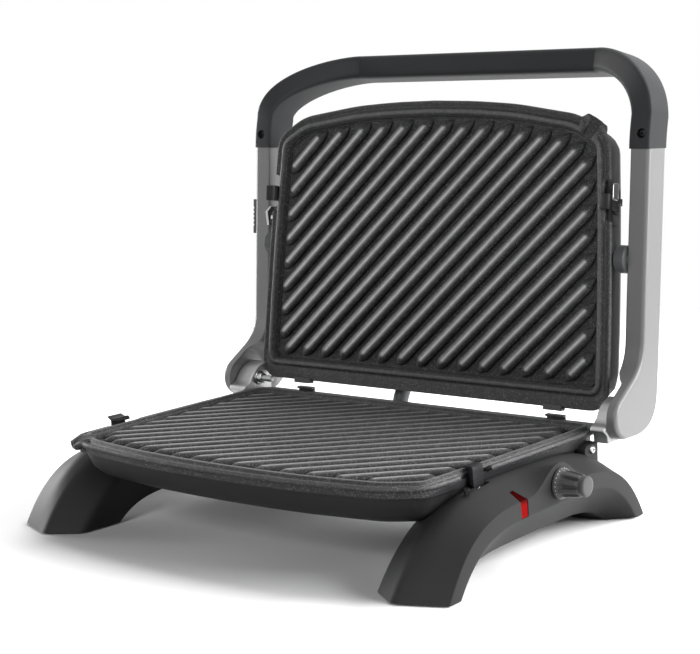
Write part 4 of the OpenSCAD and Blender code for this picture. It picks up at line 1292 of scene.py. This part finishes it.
class GRILL_OT_hinge(bpy.types.Operator):
    """Makes the hinge brackets, bolts and their screws"""

    bl_idname = "grill.hinge"
    bl_label = "Hinge"

    def execute(self, context):
        outline = rounded([Vector((HINGE_Y + y, HINGE_Z + z)) for y, z, c in BRACKET],
                          [c for y, z, c in BRACKET], 5)
        right = slab(outline, BRACKET_IN, BRACKET_OUT, 1.3, steps=4)
        left = flipped(slab(outline, BRACKET_IN - LEFT_IN, BRACKET_OUT, 1.3, steps=4))
        for side, shape in (("right", right), ("left", left)):
            new_piece(f"hinge_bracket_{side}_cast", *shape, casting(), "base", "bright_steel",
                      ("hinge_bracket_" + side,), even=True)
        axis = (HINGE_Y, HINGE_Z)
        head = BRACKET_IN - 0.4
        end = [(head, 4.0), (ARM_OUT - 4, 4.0), (ARM_OUT - 3.2, 3.4), (ARM_OUT - 3.2, 0.01)]
        bolt = [(head - 4.8, 0.01), (head - 4.8, 3.4), (head - 4.4, 4.0), (head - 1.3, 4.2),
                (head - 1.3, 5.2), (head - 1.1, 5.5), (head - 0.2, 5.5), (head, 5.2)]
        bolt_left = [(x - LEFT_IN, r) for x, r in bolt]
        plain = [(head - 0.4, 0.01), (head - 0.4, 4.6), (head, 4.8)]
        new_piece("hinge_bolts_finished", *together(turned(plain + end, axis),
                                                    flipped(turned(bolt_left + end, axis))),
                  steel(), "base", "bright_steel", ("hinge_bolts",))
        sleeve = turned([(head - 18, 0.01), (head - 18, 2.2), (head - 17.8, 2.5),
                         (head - 9.0, 2.5), (head - 8.8, 2.2), (head - 8.8, 0.01)], axis)
        new_piece("stop_sleeves_finished", *flipped(sleeve), casting(), "base", "bright_steel",
                  ("stop_sleeves",))
        spots = [((side * 167.2, 39.4, 53.4), (side, 0, 0)) for side in (-1, 1)]
        fasteners("bracket_screw_heads", spots, cross_head(3.0, 1.8, 7.0), steel(), "base",
                  ("bracket_screws",))
        return {"FINISHED"}


LEG_W, LEG_D, GRIP_H, GRIP_D, CORNER_RUN = 16.8, 26.0, 18.9, 26.4, 63.5
LEG_X = ARM_OUT - LEG_W / 2
CORNER_Z = ARM_TOP + 22.9
GRIP_Y, GRIP_Z, GRIP_LEAN = 150.7, 321.5, math.radians(8.5)
GRIP_HALF = LEG_X - CORNER_RUN
SCREW_X, SCREW_Z = LEG_X + 1.6, ARM_TOP + 10.7


def handle_path(steps):
    """Points of the handle's right half, with how far each is on from leg to grip."""
    def leg(z):
        share = (z - ARM_TOP) / (CORNER_Z - ARM_TOP)
        return Vector((LEG_X, arm_mid(z) + 2 * share ** 2, z))

    path = [(leg(ARM_TOP + (CORNER_Z - ARM_TOP) * k / 6), 0.0) for k in range(6)]
    start = leg(CORNER_Z)
    for k in range(steps + 1):
        a = math.radians(min(89.9, 90 * k / steps))
        path.append((Vector((GRIP_HALF + CORNER_RUN * math.cos(a) ** 1.18,
                             start.y + (GRIP_Y - start.y) * (1 - math.cos(a) ** 1.57),
                             start.z + (GRIP_Z - start.z) * math.sin(a))), (k / steps) ** 0.73))
    path += [(Vector((GRIP_HALF * (1 - k / 8), GRIP_Y, GRIP_Z)), 1.0) for k in range(1, 9)]
    return path


def handle_shape():
    """Skin of the handle from one arm to the other."""
    path = handle_path(40)
    right = []
    for i, (p, u) in enumerate(path):
        if i == 0:
            travel = Vector((0, 0, 1))
        elif u == 0 and i < 6:
            travel = Vector((0, math.sin(LEAN), math.cos(LEAN)))
        elif i == len(path) - 1:
            travel = Vector((-1, 0, 0))
        else:
            travel = unit(unit(path[i + 1][0] - p) + unit(p - path[i - 1][0]))
        start = Vector((0, math.cos(LEAN), -math.sin(LEAN)))
        end = Vector((0, math.cos(GRIP_LEAN), -math.sin(GRIP_LEAN)))
        raw = unit(start * (1 - u) + end * u)
        back = unit(raw - travel * raw.dot(travel))
        out = back.cross(travel)
        a, b = (LEG_W + (GRIP_H - LEG_W) * u) / 2, (LEG_D + (GRIP_D - LEG_D) * u) / 2
        cut = 2.0 + 3.2 * u
        section = rounded([Vector((a, -b)), Vector((a, b)), Vector((-a, b)), Vector((-a, -b))],
                          [cut] * 4, 6)
        right.append([p + out * q.x + back * q.y for q in section])
    left = [[Vector((-p.x, p.y, p.z)) for p in ring] for ring in right[-2::-1]]
    return loft(right + left)


class GRILL_OT_handle(bpy.types.Operator):
    """Makes the handle and its screws"""

    bl_idname = "grill.handle"
    bl_label = "Handle"

    def execute(self, context):
        grip = new_piece("handle_moulding", *handle_shape(), charcoal(), "arms", "soft_black",
                         ("handle",), angle=32)
        face = arm_mid(SCREW_Z) - ARM_HALF + 2.4
        spots = [((side * SCREW_X, face, SCREW_Z), (0, -1, 0)) for side in (-1, 1)]
        for place, way in spots:
            carve(grip, rod(place, way, 3.5, 8), angle=32)
        fasteners("handle_screw_heads", spots, cross_head(3.1, 1.6, 8.0), dark_steel(), "arms",
                  ("handle_screws",))
        return {"FINISHED"}


# ---------------------------------------------------------------- lid


class GRILL_OT_lid(bpy.types.Operator):
    """Makes the lid's housing and deck"""

    bl_idname = "grill.lid"
    bl_label = "Lid"

    def execute(self, context):
        housing = softened_node("upper_housing", "lid", graphite(), 1.0, 3, 50,
                                shade=50)
        carve(housing, block((157.0, 80, 204), (176, 112, 238)), angle=50)
        softened_node("lid_deck", "lid", soft_black(), 0.4, 2, 50, shade=50)
        return {"FINISHED"}


CATCH_W, CLIP_ON, FRAME_ON = 12.0, 6.0, 7.0
COIL_R, COIL_WIRE, COIL_Z, COIL_TURNS, COIL_STEPS = 1.7, 0.42, -13.5, 5, 16


def catch_part(outline, low_s, high_s, edge, place, side):
    """A section in (x from the catch, height) drawn along the plate's side."""
    centre = [Vector((q[0] + latch_x(), q[1])) for q in outline]
    points, faces = slab(centre, low_s, high_s, edge, steps=3)
    # slab gives (along, x, height); turn it to (x, along, height)
    points = [place @ Vector((side * p.y, -LATCH_S + p.x, p.z)) for p in points]
    return points, faces


def frame_loop(place, side, x, low, high, half, wire, on=0.0):
    """A thin bright frame round a latch's outer face."""
    corners = [Vector(q) for q in ((-half, low), (half, low), (half, high), (-half, high))]
    path = rounded(corners, [1.6] * 4, 4)
    rings = []
    for i, q in enumerate(path):
        ahead = unit(path[(i + 1) % len(path)] - path[i - 1])
        out = Vector((ahead.y, -ahead.x))
        ring = []
        for a in turns(8):
            r = q + out * wire * math.cos(a)
            ring.append(place @ Vector((side * (latch_x() + x + wire * math.sin(a)),
                                        -LATCH_S - on + r.x, r.y)))
        rings.append(ring)
    return loft(rings, closed=True)


def latch_pieces(name, node, body, place, side, on, drop, face):
    """A sprung latch: dark slide and nose, with a bright frame round its outer face."""
    half = CATCH_W / 2
    slide = catch_part([(0.4, -10), (3.6, -10), (3.6, -1.2), (3.4, 0.6), (2.8, 1.8), (2.0, 2.4),
                        (-3.0, 2.4), (-4.2, 1.6), (-4.2, 0.8), (0.4, 0.8)],
                       -half + 0.6, half - 0.6, 0.4, place, side)
    foot = catch_part([(0.4, -17), (3.6, -17), (3.6, -8), (0.4, -8)], -2.6, 2.6, 0.3, place, side)
    plate = catch_part([(3.4, -10 - drop), (4.2, -10 - drop), (4.2, -2.2 - drop),
                        (3.4, -2.2 - drop)], -half + 0.2 - on, half - 0.2, 0.3, place, side)
    new_piece(name + "_slide", *together(slide, foot, plate), soft_black(), body, "soft_black",
              (node,))
    frame = frame_loop(place, side, 4.2, -9.6 - drop, -2.6 - drop, half - 0.3, 0.4, on)
    if face:
        frame = together(frame, catch_part([(4.0, -9.2), (4.45, -9.2), (4.45, -3), (4.0, -3)],
                                           -half + 0.8 - on, half - 0.8 - on, 0.15, place, side))
    new_piece(name + "_frame", *frame, steel() if face else soft_black(), body,
              "bright_steel" if face else "soft_black")


def clip_pieces(name, node, body, place, side, on):
    """A fixed clip folded from sheet: foot, nose over the crest and a flared lip."""
    half = CATCH_W / 2
    sheet = catch_part([(0.6, -17), (2.2, -17), (2.2, 1.6), (5.4, 3.9), (4.8, 4.7),
                        (1.0, 3.3), (-3.0, 3.9), (-4.5, 2.2), (-4.0, 1.2), (-2.9, 2.3),
                        (0.6, 1.4)], -half - on, half - on, 0.35, place, side)
    new_piece(name + "_sheet", *sheet, soft_black(), body, "soft_black", (node,))


class GRILL_OT_latches(bpy.types.Operator):
    """Makes the plate latches, clips and springs"""

    bl_idname = "grill.latches"
    bl_label = "Latches"

    def execute(self, context):
        latch_pieces("latch_lower", "latch_lower", "lower_latch", LOWER, 1, 0.0, 4.5, False)
        latch_pieces("latch_upper", "latch_upper", "upper_latch", UPPER, -1, FRAME_ON, 0.0, True)
        clip_pieces("clip_lower", "clip_lower", "base", LOWER, -1, CLIP_ON)
        clip_pieces("clip_upper", "clip_upper", "lid", UPPER, 1, 0.0)
        fasteners("latch_screw_head", [((163, -99, 55.9), (0, 0, 1))],
                  cross_head(2.6, 1.6, 9.0), dark_steel(), "base",
                  ("latch_screw",))
        for node, joint, body, place, side, first, length in (
                ("latch_spring_lower", "lower_latch_pull", "base", LOWER, 1, 4.1, 5.6),
                ("latch_spring_upper", "upper_latch_pull", "lid", UPPER, -1, 0.6, 2.8)):
            start = latch_x() + first
            rings = []
            for k in range(COIL_TURNS * COIL_STEPS + 1):
                a = 2 * math.pi * k / COIL_STEPS
                out = Vector((0, math.cos(a), math.sin(a)))
                along = start + length * k / (COIL_TURNS * COIL_STEPS)
                centre = Vector((along, -LATCH_S, COIL_Z)) + out * COIL_R
                ring = [centre + COIL_WIRE * (Vector((1, 0, 0)) * math.cos(b) + out * math.sin(b))
                        for b in turns(8)]
                rings.append([place @ Vector((side * p.x, p.y, p.z)) for p in ring])
            coil = new_piece(node + "_coil", *loft(rings), steel(), body, "bright_steel", (node,),
                             angle=60)
            far = place @ Vector((side * (start + length), -LATCH_S, COIL_Z))
            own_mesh(coil)
        return {"FINISHED"}


class GRILL_OT_lock(bpy.types.Operator):
    """Makes the lid lock on the left arm"""

    bl_idname = "grill.lock"
    bl_label = "Lid Lock"

    def execute(self, context):
        softened_node("lock_slider", "lock", grey_plastic(), 1.6, 4)
        softened_node("lock_hook", "lock", steel(), 0.5)
        softened_node("lock_pin", "lid", steel(), 0.3)
        return {"FINISHED"}


# The lead's route from the base to the mouth of the lid's hole, where it ends
LEAD = [(-30, 74, 49), (-30, 74, 58), (-30, 74.5, 65), (-30, 78, 71.5), (-30, 82, 77.5),
        (-30, 83, 83)]
LEAD_R = 6.0
LEAD_THIN, LEAD_THIN_FROM, LEAD_THIN_RUN = 2.6, 73, 12


class GRILL_OT_inner(bpy.types.Operator):
    """Gives the inner parts their finishes"""

    bl_idname = "grill.inner"
    bl_label = "Inner Parts"

    def execute(self, context):
        tube = finish_of("oxidised tube", oxidised_tube)
        ceramic = finish_of("fired ceramic", fired_ceramic)
        for node, paint in (("lower_reflector", steel()), ("upper_reflector", steel()),
                            ("lower_heater", tube), ("upper_heater", tube),
                            ("thermostat", ceramic), ("terminal_block", ceramic),
                            ("thermal_cutout", ceramic)):
            dress(node, paint)
        path = rounded([Vector(q) for q in LEAD], [0, 3, 3, 3, 3, 0], 5)
        rings = []
        for i, p in enumerate(path):
            ahead = unit(path[min(i + 1, len(path) - 1)] - path[max(i - 1, 0)])
            back = ahead.cross(Vector((1, 0, 0)))
            thin = max(0.0, min(1.0, (p.z - LEAD_THIN_FROM) / LEAD_THIN_RUN))
            wide = LEAD_R - LEAD_THIN * thin
            rings.append([p + wide * (Vector((1, 0, 0)) * math.cos(a) + back * math.sin(a))
                          for a in turns(28)])
        lead = new_piece("lid_lead_sheath", *loft(rings), grey_plastic(), None, "sheath_grey",
                         ("lid_lead",), angle=40)
        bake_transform(lead)
        return {"FINISHED"}


# ---------------------------------------------------------------- stage

LENS_PX, CENTRE_PX, EYE = 1444.92, (644.21, 350.34), (687.22, -790.50, 280.62)
TURN, DOWN, ROLL = 29.902, 9.161, -0.516
IMAGE = (700, 654)
AMBIENT, FLOOR_BOUNCE = 0.02, 0.45
FLOOR_REACH = 14.0
FLOOR_FADE = (0.75, 0.7)  # metres from the middle where the floor turns white, and over how far
LIGHT_AIM = (0, 0, 0.12)
# Name, place, width, height, power and whether the lamp shows in reflections
LIGHTS = (
    ("right_softbox", (2.0, 0.55, 0.75), 1.0, 1.3, 58, True),
    ("right_back_softbox", (1.3, 1.6, 0.9), 1.0, 1.3, 96, False),
    ("left_low_softbox", (-2.0, -0.1, 0.45), 1.0, 0.6, 21, True),
    ("overhead", (0.0, 1.1, 1.8), 1.2, 1.2, 56, False),
    ("front_softbox", (0.3, -2.2, 1.2), 1.2, 1.0, 20, True),
)


def sight():
    """Right, up and forward directions of the photograph's camera."""
    az, el, roll = (math.radians(v) for v in (TURN, DOWN, ROLL))
    ahead = Vector((-math.sin(az) * math.cos(el), math.cos(az) * math.cos(el), -math.sin(el)))
    right = Vector((math.cos(az), math.sin(az), 0))
    up = right.cross(ahead)
    return (right * math.cos(roll) + up * math.sin(roll),
            up * math.cos(roll) - right * math.sin(roll), ahead)


def soft_light(name, place, width, height, power, mirrored):
    """A rectangular lamp that looks at the grill."""
    light = bpy.data.lights.new(name, "AREA")
    light.shape = "RECTANGLE"
    light.size, light.size_y = width, height
    light.energy = power
    made = linked(name, light)
    made.location = place
    made.rotation_mode = "QUATERNION"
    made.rotation_quaternion = (Vector(LIGHT_AIM) - Vector(place)).to_track_quat("-Z", "Y")
    made.visible_glossy = mirrored


def seen_share(tree):
    """1 for rays of the camera and for reflected or refracted ones, 0 for light."""
    path = tree.nodes.new("ShaderNodeLightPath")
    seen = Value(tree, path.outputs["Is Camera Ray"])
    for name in ("Is Glossy Ray", "Is Transmission Ray"):
        seen = seen.math("MAXIMUM", Value(tree, path.outputs[name]))
    return seen


class GRILL_OT_stage(bpy.types.Operator):
    """Makes the floor, the soft studio light and the camera"""

    bl_idname = "grill.stage"
    bl_label = "Stage"

    def execute(self, context):
        scene = context.scene
        right, up, ahead = sight()
        lens = bpy.data.cameras.new("camera")
        lens.sensor_width = 36.0
        lens.lens = LENS_PX * 36.0 / IMAGE[0]
        lens.shift_x = (IMAGE[0] / 2 - CENTRE_PX[0]) / IMAGE[0]
        lens.shift_y = (CENTRE_PX[1] - IMAGE[1] / 2) / IMAGE[0]
        lens.clip_start, lens.clip_end = 0.05, 40.0
        camera = linked("camera", lens)
        turn = Matrix((right, up, -ahead)).transposed()
        camera.matrix_world = Matrix.Translation(placed(EYE)) @ turn.to_4x4()
        scene.camera = camera

        scene.view_settings.view_transform = "Standard"
        world = bpy.data.worlds.new("studio")
        scene.world = world
        world.use_nodes = True
        tree = world.node_tree
        tree.nodes.clear()
        out = tree.nodes.new("ShaderNodeOutputWorld")
        plain = tree.nodes.new("ShaderNodeBackground")
        plain.inputs["Color"].default_value = (1, 1, 1, 1)
        plain.inputs["Strength"].default_value = AMBIENT
        seen = tree.nodes.new("ShaderNodeBackground")
        seen.inputs["Color"].default_value = (1, 1, 1, 1)
        seen.inputs["Strength"].default_value = 1.0
        both_ways = tree.nodes.new("ShaderNodeMixShader")
        tree.links.new(seen_share(tree).socket, both_ways.inputs[0])
        tree.links.new(plain.outputs[0], both_ways.inputs[1])
        tree.links.new(seen.outputs[0], both_ways.inputs[2])
        tree.links.new(both_ways.outputs[0], out.inputs[0])

        reach = FLOOR_REACH
        floor = bpy.data.meshes.new("floor")
        floor.from_pydata([(-reach, -reach, 0), (reach, -reach, 0), (reach, reach, 0),
                           (-reach, reach, 0)], [], [(0, 1, 2, 3)])
        paint = Finish("floor")
        seen = seen_share(paint.tree)
        white = colours().backdrop
        paint.surface(paint.mix(seen, mixed(white, FLOOR_BOUNCE), white), 0.8,
                      Specular_IOR_Level=0.0)
        glow = paint.node("ShaderNodeEmission", Color=(1, 1, 1), Strength=1.0)
        far = Value(paint.tree, paint.node("ShaderNodeVectorMath", {"operation": "LENGTH"},
                                           Vector=paint.place).outputs["Value"])
        fade = far.above(*FLOOR_FADE) * seen
        blend = paint.node("ShaderNodeMixShader")
        for socket, link in zip(blend.inputs, (fade, paint.shader.outputs[0], glow.outputs[0])):
            paint.feed(socket, link)
        shown = [n for n in paint.tree.nodes if n.type == "OUTPUT_MATERIAL"][0]
        paint.tree.links.new(blend.outputs[0], shown.inputs[0])
        floor.materials.append(paint.material)
        linked("floor", floor)
        for light in LIGHTS:
            soft_light(*light)
        return {"FINISHED"}


class GRILL_PT_panel(bpy.types.Panel):
    """Lists the pieces of the grill"""

    bl_label = "Contact Grill"
    bl_idname = "GRILL_PT_panel"
    bl_space_type = "VIEW_3D"
    bl_region_type = "UI"
    bl_category = "Grill"

    def draw(self, context):
        for group in (context.scene.grill_sizes, context.scene.grill_colours):
            box = self.layout.box()
            for key in group.bl_rna.properties.keys():
                if key not in ("rna_type", "name"):
                    box.prop(group, key)
        for piece in PIECES:
            self.layout.operator(piece.bl_idname)


PIECES = (GRILL_OT_plates, GRILL_OT_base, GRILL_OT_arches, GRILL_OT_knob, GRILL_OT_arms,
          GRILL_OT_hinge, GRILL_OT_handle, GRILL_OT_lid, GRILL_OT_latches, GRILL_OT_lock,
          GRILL_OT_inner, GRILL_OT_stage)
CLASSES = (GrillSizes, GrillColours, *PIECES, GRILL_PT_panel)


def register():
    for made in CLASSES:
        bpy.utils.register_class(made)
    bpy.types.Scene.grill_sizes = PointerProperty(type=GrillSizes)
    bpy.types.Scene.grill_colours = PointerProperty(type=GrillColours)


def unregister():
    del bpy.types.Scene.grill_colours
    del bpy.types.Scene.grill_sizes
    for made in reversed(CLASSES):
        bpy.utils.unregister_class(made)


def main():
    register()
    for piece in PIECES:
        group, name = piece.bl_idname.split(".")
        getattr(getattr(bpy.ops, group), name)()


if __name__ == "__main__":
    main()
